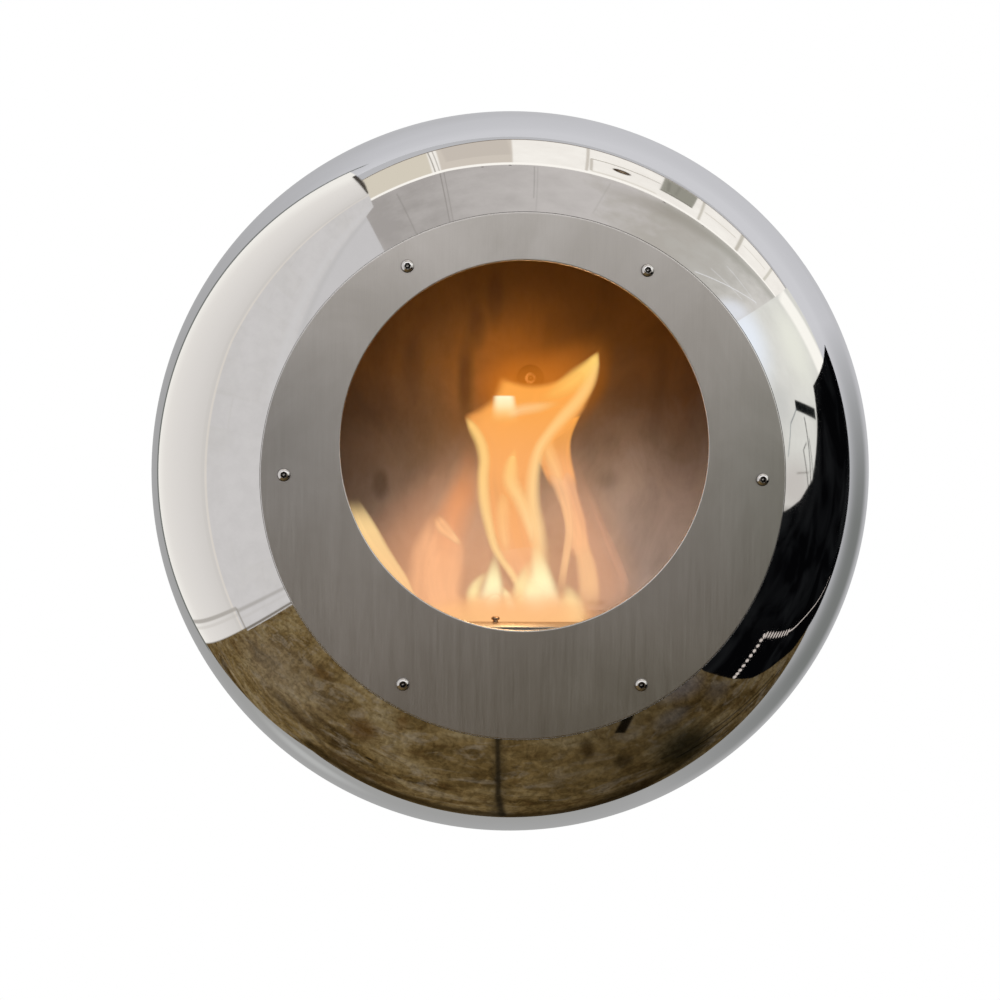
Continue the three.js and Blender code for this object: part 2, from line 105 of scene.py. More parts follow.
# Joins a grid of points (rows, columns, xyz) into quads; a closed direction joins its last to its first.
def gridMesh(name, points, closedRows=True, closedColumns=True, uv=None, sharpDegrees=35):
    rows, columns = points.shape[:2]
    row, column = np.meshgrid(
        np.arange(rows - (not closedRows)),
        np.arange(columns - (not closedColumns)),
        indexing="ij",
    )
    nextRow, nextColumn = (row + 1) % rows, (column + 1) % columns
    faces = np.stack(
        [
            row * columns + column,
            row * columns + nextColumn,
            nextRow * columns + nextColumn,
            nextRow * columns + column,
        ],
        -1,
    ).reshape(-1, 4)
    mesh = bpy.data.meshes.new(name)
    mesh.from_pydata(points.reshape(-1, 3), [], faces)
    if uv is not None:
        layer = mesh.uv_layers.new(name="surface")
        layer.data.foreach_set("uv", uv.reshape(-1, 2)[faces].astype(np.float32).ravel())
    return settledObject(name, mesh, sharpDegrees)


# Merges doubles, closes poles, turns the faces outwards and marks edges past an angle as sharp.
def settledObject(name, mesh, sharpDegrees):
    work = bmesh.new()
    work.from_mesh(mesh)
    bmesh.ops.remove_doubles(work, verts=work.verts, dist=2e-7)
    bmesh.ops.recalc_face_normals(work, faces=work.faces)
    work.to_mesh(mesh)
    work.free()
    mesh.polygons.foreach_set("use_smooth", np.ones(len(mesh.polygons), bool))
    mesh.set_sharp_from_angle(angle=math.radians(sharpDegrees))
    obj = bpy.data.objects.new(name, mesh)
    bpy.context.scene.collection.objects.link(obj)
    return obj


# Each corner becomes a curve (1-t)^2 A + 2t(1-t) P + t^2 C between points a radius away along its sides.
def roundedProfile(corners, radii, steps=5):
    corner = np.array(corners, float)
    radius = np.array(radii, float)[:, None]
    before, after = np.roll(corner, 1, 0) - corner, np.roll(corner, -1, 0) - corner
    start = corner + radius * before / np.linalg.norm(before, axis=1, keepdims=True)
    end = corner + radius * after / np.linalg.norm(after, axis=1, keepdims=True)
    t = np.linspace(0, 1, steps)[:, None]
    curves = (start[:, None] * (1 - t) ** 2 + corner[:, None] * 2 * t * (1 - t) + end[:, None] * t**2)
    return curves.reshape(-1, 2)


# A [radius, height] profile turned round an axis along Y or Z through a centre.
def turned(name, profile, columns, centre=(0, 0), axis="Y", closedRows=True, sharpDegrees=35, paintedShade=None):
    angle = np.arange(columns) * 2 * np.pi / columns
    radius, height = profile[:, :1], np.broadcast_to(profile[:, 1:], (len(profile), columns))
    first, second = radius * np.cos(angle) + centre[0], radius * np.sin(angle) + centre[1]
    stacked = (first, height, second) if axis == "Y" else (first, second, height)
    uv = None
    # An optional share of painted shade goes into the map's second place, and the angle into its first.
    if paintedShade is not None:
        share = np.broadcast_to(paintedShade[:, None], first.shape)
        uv = np.stack([np.broadcast_to(angle / (2 * np.pi), first.shape), share], -1)
    return gridMesh(name, np.stack(stacked, -1), closedRows, uv=uv, sharpDegrees=sharpDegrees)


bevelled = dict(mergeWithin=1e-6, flatDegrees=1, sharpDegrees=35, edgeDegrees=40)


# A merged copy of a CAD node with its flat faces joined and its edges bevelled.
def softenedCopy(node, width, segments=2):
    work = bmesh.new()
    work.from_mesh(nodes[node].data)
    bmesh.ops.remove_doubles(work, verts=work.verts, dist=bevelled["mergeWithin"])
    flat = math.radians(bevelled["flatDegrees"])
    bmesh.ops.dissolve_limit(work, angle_limit=flat, verts=work.verts, edges=work.edges)
    mesh = bpy.data.meshes.new(node + "_soft")
    work.to_mesh(mesh)
    work.free()
    mesh.polygons.foreach_set("use_smooth", np.ones(len(mesh.polygons), bool))
    mesh.set_sharp_from_angle(angle=math.radians(bevelled["sharpDegrees"]))
    obj = bpy.data.objects.new(node + "_soft", mesh)
    bpy.context.scene.collection.objects.link(obj)
    bevel = obj.modifiers.new("edges", "BEVEL")
    bevel.width = width
    bevel.segments = segments
    bevel.limit_method = "ANGLE"
    bevel.angle_limit = math.radians(bevelled["edgeDegrees"])
    bevel.harden_normals = True
    return obj


def dress(obj, body, material, stands=()):
    obj.data.materials.clear()
    obj.data.materials.append(material)
    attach(obj, body)
    if stands:
        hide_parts(*stands)
    return obj


# A shader node with its sockets set: a number or colour stays on the socket, another socket is linked.
def addNode(tree, kind, inputs=None, **settings):
    node = tree.nodes.new("ShaderNode" + kind)
    for name, value in settings.items():
        setattr(node, name, value)
    for key, value in (inputs or {}).items():
        if isinstance(value, bpy.types.NodeSocket):
            tree.links.new(value, node.inputs[key])
        else:
            node.inputs[key].default_value = value
    return node


def colour(red, green, blue):
    return (red, green, blue, 1)


# A screen colour from 0 to 255 as the linear colour that shows it: ((c + 0.055) / 1.055) ^ 2.4.
def screen(red, green, blue, share=1.0):
    level = np.array([red, green, blue]) / 255
    linear = np.where(level > 0.04045, ((level + 0.055) / 1.055) ** 2.4, level / 12.92) * share
    return colour(*(float(x) for x in linear))


def steelMaterial(name, baseColour, roughness, metallic=1.0, **fixed):
    material = bpy.data.materials.new(name)
    material.use_nodes = True
    tree = material.node_tree
    shader = tree.nodes["Principled BSDF"]
    shader.inputs["Base Color"].default_value = baseColour
    shader.inputs["Roughness"].default_value = roughness
    shader.inputs["Metallic"].default_value = metallic
    for socket, value in fixed.items():
        shader.inputs[socket.replace("_", " ")].default_value = value
    coords = addNode(tree, "TexCoord").outputs["Object"]
    return material, tree, shader, coords


# Noise on coordinates that are stretched by a scale on each axis.
def grain(tree, coords, scale, detail=4, roughness=0.55, distortion=0.0):
    mapped = addNode(tree, "Mapping", {"Vector": coords, "Scale": scale})
    noise = addNode(
        tree,
        "TexNoise",
        {
            "Vector": mapped.outputs[0],
            "Scale": 1.0,
            "Detail": detail,
            "Roughness": roughness,
            "Distortion": distortion,
        },
    )
    return noise.outputs["Fac"]


# A value moved from one range to another, clamped.
def ranged(tree, value, fromLow, fromHigh, toLow, toHigh, smooth=False):
    return addNode(
        tree,
        "MapRange",
        {0: value, 1: fromLow, 2: fromHigh, 3: toLow, 4: toHigh},
        interpolation_type="SMOOTHSTEP" if smooth else "LINEAR",
    ).outputs[0]


def maths(tree, operation, first, second=0.0, third=0.0):
    return addNode(tree, "Math", {0: first, 1: second, 2: third}, operation=operation).outputs[0]


def mixed(tree, share, first, second, blend="MIX"):
    return addNode(
        tree, "Mix", {0: share, 6: first, 7: second}, data_type="RGBA", blend_type=blend
    ).outputs[2]


# Stops of a ramp: each is a place and the three numbers that this kind of colour takes.
def stopsOf(kind, *stops):
    return [(place, kind(*numbers)) for place, *numbers in stops]


# A colour ramp through [place, colour] stops.
def ramp(tree, value, stops, smooth=False):
    node = addNode(tree, "ValToRGB", {0: value})
    node.color_ramp.interpolation = "EASE" if smooth else "LINEAR"
    elements = node.color_ramp.elements
    for place, _ in stops[2:]:
        elements.new(place)
    for element, (place, shade) in zip(elements, stops):
        element.position = place
    for element, (place, shade) in zip(elements, stops):
        element.color = shade if hasattr(shade, "__len__") else colour(shade, shade, shade)
    return node.outputs[0]


# 1 from a centre out to the hard share of an ellipsoid of the given half-sizes, falling smoothly to 0 at it.
def spot(tree, coords, centre, halfSizes, hardness=0.0):
    scale = tuple(1 / size for size in halfSizes)
    place = tuple(-c * s for c, s in zip(centre, scale))
    mapped = addNode(tree, "Mapping", {"Vector": coords, "Scale": scale, "Location": place})
    length = addNode(tree, "VectorMath", {0: mapped.outputs[0]}, operation="LENGTH").outputs["Value"]
    return ranged(tree, length, hardness, 1.0, 1.0, 0.0, smooth=True)


def bumped(tree, shader, height, distance, strength=1.0):
    bump = addNode(tree, "Bump", {"Height": height, "Distance": distance, "Strength": strength})
    tree.links.new(bump.outputs[0], shader.inputs["Normal"])


# Roughness runs from low to high while the fine grain runs from 0.3 to 0.7, and the grain stands out too.
def roughened(tree, shader, fine, low, high, distance, strength):
    tree.links.new(ranged(tree, fine, 0.3, 0.7, low, high), shader.inputs["Roughness"])
    bumped(tree, shader, fine, distance, strength)


# Polished stainless: almost a mirror, with faint spinning waves and cleaning haze.
def makeMirrorSteel():
    material, tree, shader, coords = steelMaterial("mirrorSteel", colour(0.87, 0.87, 0.88), 0.03)
    haze = grain(tree, coords, (9, 9, 9), 3)
    tree.links.new(ranged(tree, haze, 0.35, 0.7, 0.018, 0.05), shader.inputs["Roughness"])
    wave = grain(tree, coords, (5, 5, 5), 1, 0.3)
    bumped(tree, shader, wave, 0.0006, 0.25)
    return material


# Painted shade and light on the plate, darker at the right, the left and low down and lighter at the top
# left: a middle, half-sizes and a multiplier.
plateShading = [
    ((0.215, -0.3, -0.02), (0.12, 0.2, 0.22), colour(0.79, 0.82, 0.79)),
    ((-0.2, -0.3, 0.03), (0.10, 0.2, 0.14), colour(0.84, 0.85, 0.86)),
    ((-0.10, -0.3, 0.19), (0.10, 0.2, 0.07), colour(1.14, 1.14, 1.15)),
    ((0.10, -0.3, -0.18), (0.22, 0.2, 0.10), colour(0.90, 0.91, 0.86)),
]


# Sheet brushed upright: fine lines in colour, roughness and height, with polished edges.
def makeBrushedSteel():
    material, tree, shader, coords = steelMaterial(
        "brushedSteel", colour(0.6, 0.58, 0.565), 0.34, Anisotropic=0.5
    )
    fine = grain(tree, coords, (1900, 1900, 26), 3, 0.7)
    broad = grain(tree, coords, (210, 210, 9), 3, 0.6)
    cloud = grain(tree, coords, (10, 10, 8), 5, 0.6, 0.8)
    lines = maths(tree, "MULTIPLY_ADD", broad, 0.35, maths(tree, "MULTIPLY", fine, 0.65))
    tone = ramp(tree, lines, stopsOf(colour, (0.3, 0.565, 0.545, 0.53), (0.7, 0.625, 0.605, 0.59)))
    wash = ramp(tree, cloud, stopsOf(colour, (0.34, 0.92, 0.915, 0.905), (0.62, 1.05, 1.05, 1.055)))
    tone = mixed(tree, 1.0, tone, wash, "MULTIPLY")
    # Three spots lay painted shade over the tone, and one lays painted light.
    for centre, halfSizes, tint in plateShading:
        tinted = mixed(tree, 1.0, tone, tint, "MULTIPLY")
        tone = mixed(tree, spot(tree, coords, centre, halfSizes), tone, tinted)
    edge = addNode(tree, "UVMap", uv_map="surface").outputs[0]
    edge = addNode(tree, "SeparateXYZ", {0: edge}).outputs["Y"]
    tree.links.new(mixed(tree, edge, tone, colour(0.86, 0.86, 0.87)), shader.inputs["Base Color"])
    satin = ranged(tree, lines, 0.3, 0.7, 0.3, 0.42)
    polish = maths(tree, "MULTIPLY_ADD", edge, -0.26, satin)
    tree.links.new(polish, shader.inputs["Roughness"])
    bumped(tree, shader, fine, 0.00002, 0.35)
    tangent = addNode(tree, "Tangent", direction_type="UV_MAP", uv_map="brush")
    tree.links.new(tangent.outputs[0], shader.inputs["Tangent"])
    return material


# Polished screw steel with painted shade where the map's second place nears 1, in the socket and under the
# rim, and more painted shade low down, where the first place is 0.5 to 1.
def makeScrewSteel(name, bright, shadeColour, roughness, metallic=1.0):
    material, tree, shader, coords = steelMaterial(name, bright, roughness, metallic)
    place = addNode(tree, "UVMap", uv_map="surface").outputs[0]
    axes = addNode(tree, "SeparateXYZ", {0: place})
    lowShade = spot(tree, place, (0.8, 1.0, 0.0), (0.28, 1.15, 1.0), 0.55)
    paintedShade = maths(tree, "MAXIMUM", axes.outputs["Y"], maths(tree, "MULTIPLY", lowShade, 0.95))
    rub = grain(tree, coords, (600, 600, 600), 3)
    worn = ranged(tree, rub, 0.3, 0.7, 0.9, 1.05)
    plain = mixed(tree, 1.0, bright, ramp(tree, worn, [(0.0, 0.9), (1.0, 1.0)]), "MULTIPLY")
    tree.links.new(mixed(tree, paintedShade, plain, shadeColour), shader.inputs["Base Color"])
    smear = ranged(tree, rub, 0.3, 0.7, roughness * 0.7, roughness * 1.5)
    tree.links.new(maths(tree, "MULTIPLY_ADD", paintedShade, 0.35, smear), shader.inputs["Roughness"])
    bumped(tree, shader, rub, 0.00002, 0.2)
    return material


# Heat tint and painted light of the back panel: the pale grey low stops are painted light.
panelHeatAndLight = dict(
    top=0.175,
    bottom=-0.125,
    stops=stopsOf(
        screen, (0.0, 184, 176, 177), (0.26, 160, 150, 150), (0.46, 118, 101, 92), (0.6, 102, 76, 54),
        (0.76, 112, 75, 33), (1.0, 108, 71, 29),
    ),
    # tint: a painted glow of flame light on the middle of the panel.
    tint=((0.012, -0.0865, 0.085), (0.095, 0.2, 0.085), colour(1.75, 1.6, 1.15)),
    soot=colour(0.02, 0.013, 0.008),
    marks=[
        ((-0.107, -0.0865, -0.015), (0.010, 0.2, 0.019), 0.3, 0.6),
        ((0.094, -0.0865, -0.009), (0.016, 0.2, 0.013), 0.1, 0.3),
        ((-0.033, -0.0865, 0.078), (0.0105, 0.2, 0.052), 0.2, 0.75),
        ((-0.024, -0.0865, 0.122), (0.012, 0.2, 0.030), 0.2, 0.55),
        ((-0.008, -0.0865, 0.150), (0.010, 0.2, 0.035), 0.3, 0.35),
        ((0.060, -0.0865, 0.120), (0.060, 0.2, 0.030), 0.1, 0.3),
        ((-0.080, -0.0865, 0.090), (0.014, 0.2, 0.040), 0.3, 0.3),
        ((0.085, -0.0865, -0.118), (0.012, 0.2, 0.004), 0.2, 0.7),
    ],
)


# Back panel: colours that rise from grey through smoke and amber to brown, heat tint above and painted light
# in the pale lower part, with drawn streaks, soot marks and upright smears.
def makePanelSteel():
    material, tree, shader, coords = steelMaterial(
        "panelSteel", colour(0.3, 0.2, 0.12), 0.46, metallic=0.4, Specular_IOR_Level=0.35
    )
    place = addNode(tree, "SeparateXYZ", {0: coords})
    cloud = grain(tree, coords, (10, 10, 7), 6, 0.62, 0.6)
    height = ranged(tree, place.outputs["Z"], panelHeatAndLight["bottom"], panelHeatAndLight["top"], 0, 1)
    lean = maths(tree, "MULTIPLY_ADD", place.outputs["X"], -0.5, height)
    level = maths(tree, "MULTIPLY_ADD", maths(tree, "SUBTRACT", cloud, 0.5), 0.3, lean)
    heatAndLight = ramp(tree, level, panelHeatAndLight["stops"])
    smear = grain(tree, coords, (24, 24, 13), 5, 0.6, 0.8)
    heatAndLight = mixed(tree, 1.0, heatAndLight, ramp(tree, smear, [(0.34, 0.86), (0.6, 1.08)]), "MULTIPLY")
    # A painted shade darkens the left side and painted light brightens the right side.
    across = ranged(tree, place.outputs["X"], -0.15, 0.15, 0, 1)
    shade = ramp(tree, across, [(0.0, 0.6), (0.5, 1.0), (0.7, 1.02), (1.0, 1.32)], True)
    heatAndLight = mixed(tree, 1.0, heatAndLight, shade, "MULTIPLY")
    # Painted flame light brightens the middle of the panel.
    centre, halfSizes, tint = panelHeatAndLight["tint"]
    flameLit = mixed(tree, 1.0, heatAndLight, tint, "MULTIPLY")
    heatAndLight = mixed(tree, spot(tree, coords, centre, halfSizes), heatAndLight, flameLit)
    for centre, halfSizes, hardness, depth in panelHeatAndLight["marks"]:
        mark = spot(tree, coords, centre, halfSizes, hardness)
        ragged = maths(tree, "MULTIPLY", mark, ranged(tree, cloud, 0.3, 0.55, 0.6, 1.0))
        heatAndLight = mixed(tree, maths(tree, "MULTIPLY", ragged, depth), heatAndLight, panelHeatAndLight["soot"])
    tree.links.new(heatAndLight, shader.inputs["Base Color"])
    speck = grain(tree, coords, (260, 260, 120), 3)
    roughened(tree, shader, speck, 0.36, 0.6, 0.00006, 0.5)
    return material


# Satin burner steel with straw-coloured bloom towards the flame slot.
def makeBurnerSteel():
    material, tree, shader, coords = steelMaterial("burnerSteel", colour(0.5, 0.46, 0.42), 0.33)
    bloom = spot(tree, coords, (0, -0.224, -0.12), (0.12, 0.07, 0.05), 0.2)
    cloud = grain(tree, coords, (26, 26, 26), 4)
    plain = ramp(tree, cloud, stopsOf(colour, (0.3, 0.42, 0.4, 0.38), (0.7, 0.56, 0.54, 0.52)))
    straw = ramp(tree, cloud, stopsOf(colour, (0.3, 0.3, 0.17, 0.09), (0.7, 0.52, 0.36, 0.2)))
    tree.links.new(mixed(tree, bloom, plain, straw), shader.inputs["Base Color"])
    lines = grain(tree, coords, (30, 1200, 1200), 3, 0.7)
    roughened(tree, shader, lines, 0.26, 0.42, 0.00002, 0.4)
    return material


# Plain finishes: a base colour, roughness and metallic share; a cloud and its tones; a grain, the roughness
# that it gives, and its height and strength. The paint's grain is the orange-peel of sprayed powder.
plainFinishes = dict(
    linerSteel=dict(
        base=(colour(0.3, 0.22, 0.15), 0.42, 0.8),
        cloud=((14, 14, 14), 5, 0.6, 0.5),
        tones=stopsOf(colour, (0.3, 0.16, 0.09, 0.05), (0.5, 0.34, 0.24, 0.17), (0.72, 0.42, 0.38, 0.36)),
        fine=((90, 900, 90), 3),
        relief=(0.32, 0.52, 0.00004, 0.4),
    ),
    sheetSteel=dict(
        base=(colour(0.5, 0.5, 0.49), 0.4, 1.0),
        cloud=((18, 18, 18), 4),
        tones=stopsOf(colour, (0.3, 0.42, 0.42, 0.41), (0.7, 0.55, 0.55, 0.54)),
        fine=((40, 900, 900), 3, 0.7),
        relief=(0.3, 0.5, 0.00003, 0.4),
    ),
    bracketPaint=dict(
        base=(colour(0.02, 0.02, 0.021), 0.5, 0.0),
        cloud=((30, 30, 30), 3),
        tones=stopsOf(colour, (0.3, 0.017, 0.017, 0.018), (0.7, 0.028, 0.028, 0.029)),
        fine=((1100, 1100, 1100), 2),
        relief=(0.42, 0.58, 0.00012, 0.6),
    ),
)


# The cloud's tones make the base colour; the fine grain makes the roughness and the relief.
def makePlainFinish(name):
    look = plainFinishes[name]
    material, tree, shader, coords = steelMaterial(name, *look["base"])
    tone = ramp(tree, grain(tree, coords, *look["cloud"]), look["tones"])
    tree.links.new(tone, shader.inputs["Base Color"])
    roughened(tree, shader, grain(tree, coords, *look["fine"]), *look["relief"])
    return material


def makeCeramicWool():
    material, tree, shader, coords = steelMaterial(
        "ceramicWool", colour(0.72, 0.68, 0.6), 0.95, metallic=0.0, Sheen_Weight=0.3
    )
    fibre = grain(tree, coords, (500, 160, 500), 5, 0.7, 1.5)
    tone = ramp(tree, fibre, stopsOf(colour, (0.3, 0.5, 0.45, 0.37), (0.65, 0.82, 0.78, 0.7)))
    char = spot(tree, coords, (0, -0.224, -0.134), (0.07, 0.03, 0.02), 0.3)
    tone = mixed(tree, maths(tree, "MULTIPLY", char, 0.6), tone, colour(0.12, 0.09, 0.07))
    tree.links.new(tone, shader.inputs["Base Color"])
    bumped(tree, shader, fibre, 0.0005, 0.9)
    return material


finishes = dict(
    mirror=makeMirrorSteel(),
    brushed=makeBrushedSteel(),
    screw=makeScrewSteel("screwSteel", colour(0.85, 0.84, 0.84), colour(0.012, 0.011, 0.01), 0.07),
    # The lock bolt's amber is heat tint and a painted glow of the flames' light.
    heatedAndFlameLit=makeScrewSteel("heatedFlameLitSteel", colour(0.95, 0.52, 0.2), colour(0.08, 0.03, 0.008), 0.5, 0.2),
    tinted=makeScrewSteel("tintedSteel", colour(0.03, 0.012, 0.004), colour(0.01, 0.004, 0.002), 0.5, 0.3),
    panel=makePanelSteel(),
    liner=makePlainFinish("linerSteel"),
    burner=makeBurnerSteel(),
    sheet=makePlainFinish("sheetSteel"),
    paint=makePlainFinish("bracketPaint"),
    wool=makeCeramicWool(),
)
print("finishes made:", len(finishes))


frontLow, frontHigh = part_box("front_shell")
rearLow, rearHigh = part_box("rear_shell")
plateLow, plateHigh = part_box("front_plate")
podRadius = frontHigh.x
widestY = (frontHigh.y + rearLow.y) / 2

shell = dict(
    wall=1.5 * mm,
    plateGap=0.15 * mm,
    landingInner=178 * mm,
    rearRimRadius=169.5 * mm,
    rearLipInner=150 * mm,
    steps=90,
    columns=300,
)


# Points of an ellipse's quarter between two distances from the widest circle, even in angle:
# radius = (R - inset) cos(a), y = widest - side (D - inset) sin(a).
def bowlArc(fromAhead, toAhead, depth, inset, side, steps):
    start, end = (math.asin(p / (depth - inset)) for p in (fromAhead, toAhead))
    angle = np.linspace(start, end, steps)
    radius = (podRadius - inset) * np.cos(angle)
    return np.stack([radius, widestY - side * (depth - inset) * np.sin(angle)], -1)


def makeFrontBowl():
    seat = plateHigh.x + shell["plateGap"]
    rim = widestY - frontLow.y
    depth = rim / math.sqrt(1 - (seat / podRadius) ** 2)
    seam = widestY - frontHigh.y
    landingBack = widestY - plateHigh.y - shell["wall"]
    outside = bowlArc(seam, rim, depth, 0, 1, shell["steps"])
    inside = bowlArc(landingBack, seam, depth, shell["wall"], 1, shell["steps"] // 2)
    landing = [
        (seat, plateHigh.y),
        (shell["landingInner"], plateHigh.y),
        (shell["landingInner"], plateHigh.y + shell["wall"]),
    ]
    profile = np.concatenate([outside, landing, inside])
    return turned("frontBowl", profile, shell["columns"])


def makeRearBowl():
    rim = rearHigh.y - widestY
    depth = rim / math.sqrt(1 - (shell["rearRimRadius"] / podRadius) ** 2)
    seam = rearLow.y - widestY
    outside = bowlArc(seam, rim, depth, 0, -1, shell["steps"])
    inside = bowlArc(rim - shell["wall"], seam, depth, shell["wall"], -1, shell["steps"] // 2)
    lip = [(shell["rearLipInner"], rearHigh.y), (shell["rearLipInner"], rearHigh.y - shell["wall"])]
    return turned("rearBowl", np.concatenate([outside, lip, inside]), shell["columns"])


dress(makeFrontBowl(), "pod", finishes["mirror"], ["front_shell"])
dress(makeRearBowl(), "pod", finishes["mirror"], ["rear_shell"])
print("pod shells made")


plate = dict(
    mouthRadius=147 * mm,
    mouthRise=24.5 * mm,
    chamfer=0.9 * mm,
    support=0.5 * mm,
    columns=360,
    outerPolish=1.0,
    mouthPolish=0.45,
)


# A ring between two circles that don't share a centre. Its section goes round the outer edge, the back,
# the mouth's edge and the front; each corner is a quarter-round, (1 - sin t, 1 - cos t) of the chamfer, and
# a row just past each corner keeps the faces flat. The edges' polish is in the map's second place.
def makeFrontPlate():
    angle = np.arange(plate["columns"]) * 2 * np.pi / plate["columns"]
    turn = np.linspace(0, np.pi / 2, 5)
    soft = plate["chamfer"]
    corner = np.stack([soft * (1 - np.sin(turn)), soft * (1 - np.cos(turn))], -1)
    corner = np.concatenate([[(soft + plate["support"], 0)], corner])
    edge = np.concatenate([corner, corner[::-1]])
    toBack = np.arange(len(edge)) >= len(corner)
    outerY = np.where(toBack, plateHigh.y - edge[:, 1], plateLow.y + edge[:, 1])
    innerY = np.where(toBack, plateLow.y + edge[:, 1], plateHigh.y - edge[:, 1])
    radius = np.concatenate([plateHigh.x - edge[:, 0], plate["mouthRadius"] + edge[:, 0]])[:, None]
    rise = np.repeat([0.0, plate["mouthRise"]], len(edge))[:, None]
    y = np.broadcast_to(np.concatenate([outerY, innerY])[:, None], (len(radius), len(angle)))
    points = np.stack([radius * np.cos(angle), y, radius * np.sin(angle) + rise], -1)
    onEdge = edge[:, 0] < soft * 0.99
    polished = np.concatenate([onEdge * plate["outerPolish"], onEdge * plate["mouthPolish"]])
    uv = np.stack([np.broadcast_to(angle, y.shape), np.broadcast_to(polished[:, None], y.shape)], -1)
    obj = gridMesh("frontPlate", points, uv=uv, sharpDegrees=40)
    addBrushMap(obj.data)
    return obj


# Texture places are X and Z in metres, so that the grain's direction follows the sheet.
def addBrushMap(mesh):
    places = np.empty(len(mesh.vertices) * 3, np.float32)
    mesh.vertices.foreach_get("co", places)
    corner = np.empty(len(mesh.loops), np.int32)
    mesh.loops.foreach_get("vertex_index", corner)
    layer = mesh.uv_layers.new(name="brush")
    layer.data.foreach_set("uv", places.reshape(-1, 3)[corner][:, [0, 2]].ravel())


dress(makeFrontPlate(), "pod", finishes["brushed"], ["front_plate"])
print("front plate made")


fastener = dict(
    columns=48,
    headRadius=5.25 * mm,
    headHeight=3.3 * mm,
    crownRadius=2.6 * mm,
    shankRadius=3 * mm,
    socketFlats=4 * mm,
    socketDepth=2 * mm,
    drillDepth=0.5 * mm,
    nutFlats=10 * mm,
    nutBore=3.15 * mm,
    turns=(0.3, 0.8, 0.1, 0.55, 0.95, 0.4, 0.2),
    nutCut=0.5 * mm,
    washerGap=0.3 * mm,
    washerRound=0.3 * mm,
    washerColumns=72,
)


# How far a hexagon's side stands out at an angle, as a share of half its flats: 1 / cos(a mod 60 - 30).
def hexShare(angle):
    return 1 / np.cos(np.mod(angle, np.pi / 3) - np.pi / 6)


# Rows of [radius, rise, six-sided, painted shade] round an axis along Y; six-sided rows follow the hexagon,
# and the share of painted shade goes into the map's second place.
def turnedSixSided(name, rows, centre, seatY, turn, sharpDegrees=30):
    rows = np.array(rows, float)
    angle = np.arange(fastener["columns"]) * 2 * np.pi / fastener["columns"]
    share = np.where(rows[:, 2:3] > 0, hexShare(angle)[None], 1.0)
    radius = rows[:, :1] * share
    direction = angle + turn
    y = np.broadcast_to(seatY - rows[:, 1:2], radius.shape)
    points = np.stack(
        [centre[0] + radius * np.cos(direction), y, centre[1] + radius * np.sin(direction)], -1
    )
    paintedShade = np.broadcast_to(rows[:, 3:4], radius.shape)
    around = np.mod(direction, 2 * np.pi) / (2 * np.pi)
    uv = np.stack([np.broadcast_to(around, radius.shape), paintedShade], -1)
    return gridMesh(name, points, closedRows=False, uv=uv, sharpDegrees=sharpDegrees)


# Button head: a quarter-ellipse dome from the rim to the crown, then a six-sided socket.
def makeButtonScrew(node, index):
    low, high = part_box(node)
    centre = ((low.x + high.x) / 2, (low.z + high.z) / 2)
    seatY = low.y + fastener["headHeight"]
    length = high.y - seatY
    head, crown, height = (fastener[key] for key in ("headRadius", "crownRadius", "headHeight"))
    turn = np.linspace(0, np.pi / 2, 10)
    # The dome's last column is painted shade, deepest at its foot by the rim.
    dome = np.stack(
        [
            crown + (head - crown) * np.cos(turn),
            height * (0.12 + 0.88 * np.sin(turn)),
            np.zeros_like(turn),
            np.clip(0.9 - 1.1 * turn, 0.01, 1),
        ],
        -1,
    )
    shank, flats = fastener["shankRadius"], fastener["socketFlats"] / 2
    floor = height - fastener["socketDepth"]
    # Each row's last number is painted shade: under the head, by the rim and in the socket.
    rows = [
        (0, -length, 0, 0.3),
        (shank * 0.8, -length, 0, 0.3),
        (shank, -length + shank * 0.25, 0, 0.3),
        (shank, 0, 0, 0.6),
        (head - 0.15 * mm, 0, 0, 1),
        *dome,
        (flats * 1.2, height, 1, 0.0),
        (flats * 1.12, height, 1, 1.0),
        (flats, height - 0.12 * mm, 1, 1.0),
        (flats, floor, 1, 1.0),
        (flats * 0.62, floor, 0, 1.0),
        (flats * 0.4, floor, 0, 0.5),
        (0, floor - fastener["drillDepth"], 0, 0.0),
    ]
    return turnedSixSided(node + "_fine", rows, centre, seatY, fastener["turns"][index])


# Six-sided nut: the corners of both faces are cut back to a circle, and the bore is countersunk.
def makeHexNut(node, turn=0.0):
    low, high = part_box(node)
    centre = ((low.x + high.x) / 2, (low.z + high.z) / 2)
    height, flats, bore = high.y - low.y, fastener["nutFlats"] / 2, fastener["nutBore"]
    cut = fastener["nutCut"]
    # Each row's last number is painted shade, deepest in the bore.
    rows = [
        (bore, -height + cut, 0, 1),
        (bore + cut, -height, 0, 0.3),
        (flats * 0.97, -height, 0, 0),
        (flats, -height + cut, 1, 0),
        (flats, -cut, 1, 0),
        (flats * 0.97, 0, 0, 0.2),
        (bore + cut, 0, 0, 0.3),
        (bore, -cut, 0, 1),
        (bore, -height + cut, 0, 1),
    ]
    return turnedSixSided(node + "_fine", rows, centre, low.y, turn)


# Flat washer: a rectangle with rounded corners, turned round the bolt.
def makeWasher(node):
    low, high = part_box(node)
    bore = fastener["shankRadius"] + fastener["washerGap"]
    corners = [(bore, low.y), (high.x - (low.x + high.x) / 2, low.y)]
    corners += [(corners[1][0], high.y), (bore, high.y)]
    profile = roundedProfile(corners, [fastener["washerRound"]] * 4)
    centre = ((low.x + high.x) / 2, (low.z + high.z) / 2)
    # Painted shade darkens the washer by its bore and by its outer edge.
    reach = (profile[:, 0] - bore) / (corners[1][0] - bore)
    paintedShade = np.clip(np.maximum(1 - 4 * reach, 6 * reach - 5), 0, 1)
    return turned(node + "_fine", profile, fastener["washerColumns"], centre, paintedShade=paintedShade)


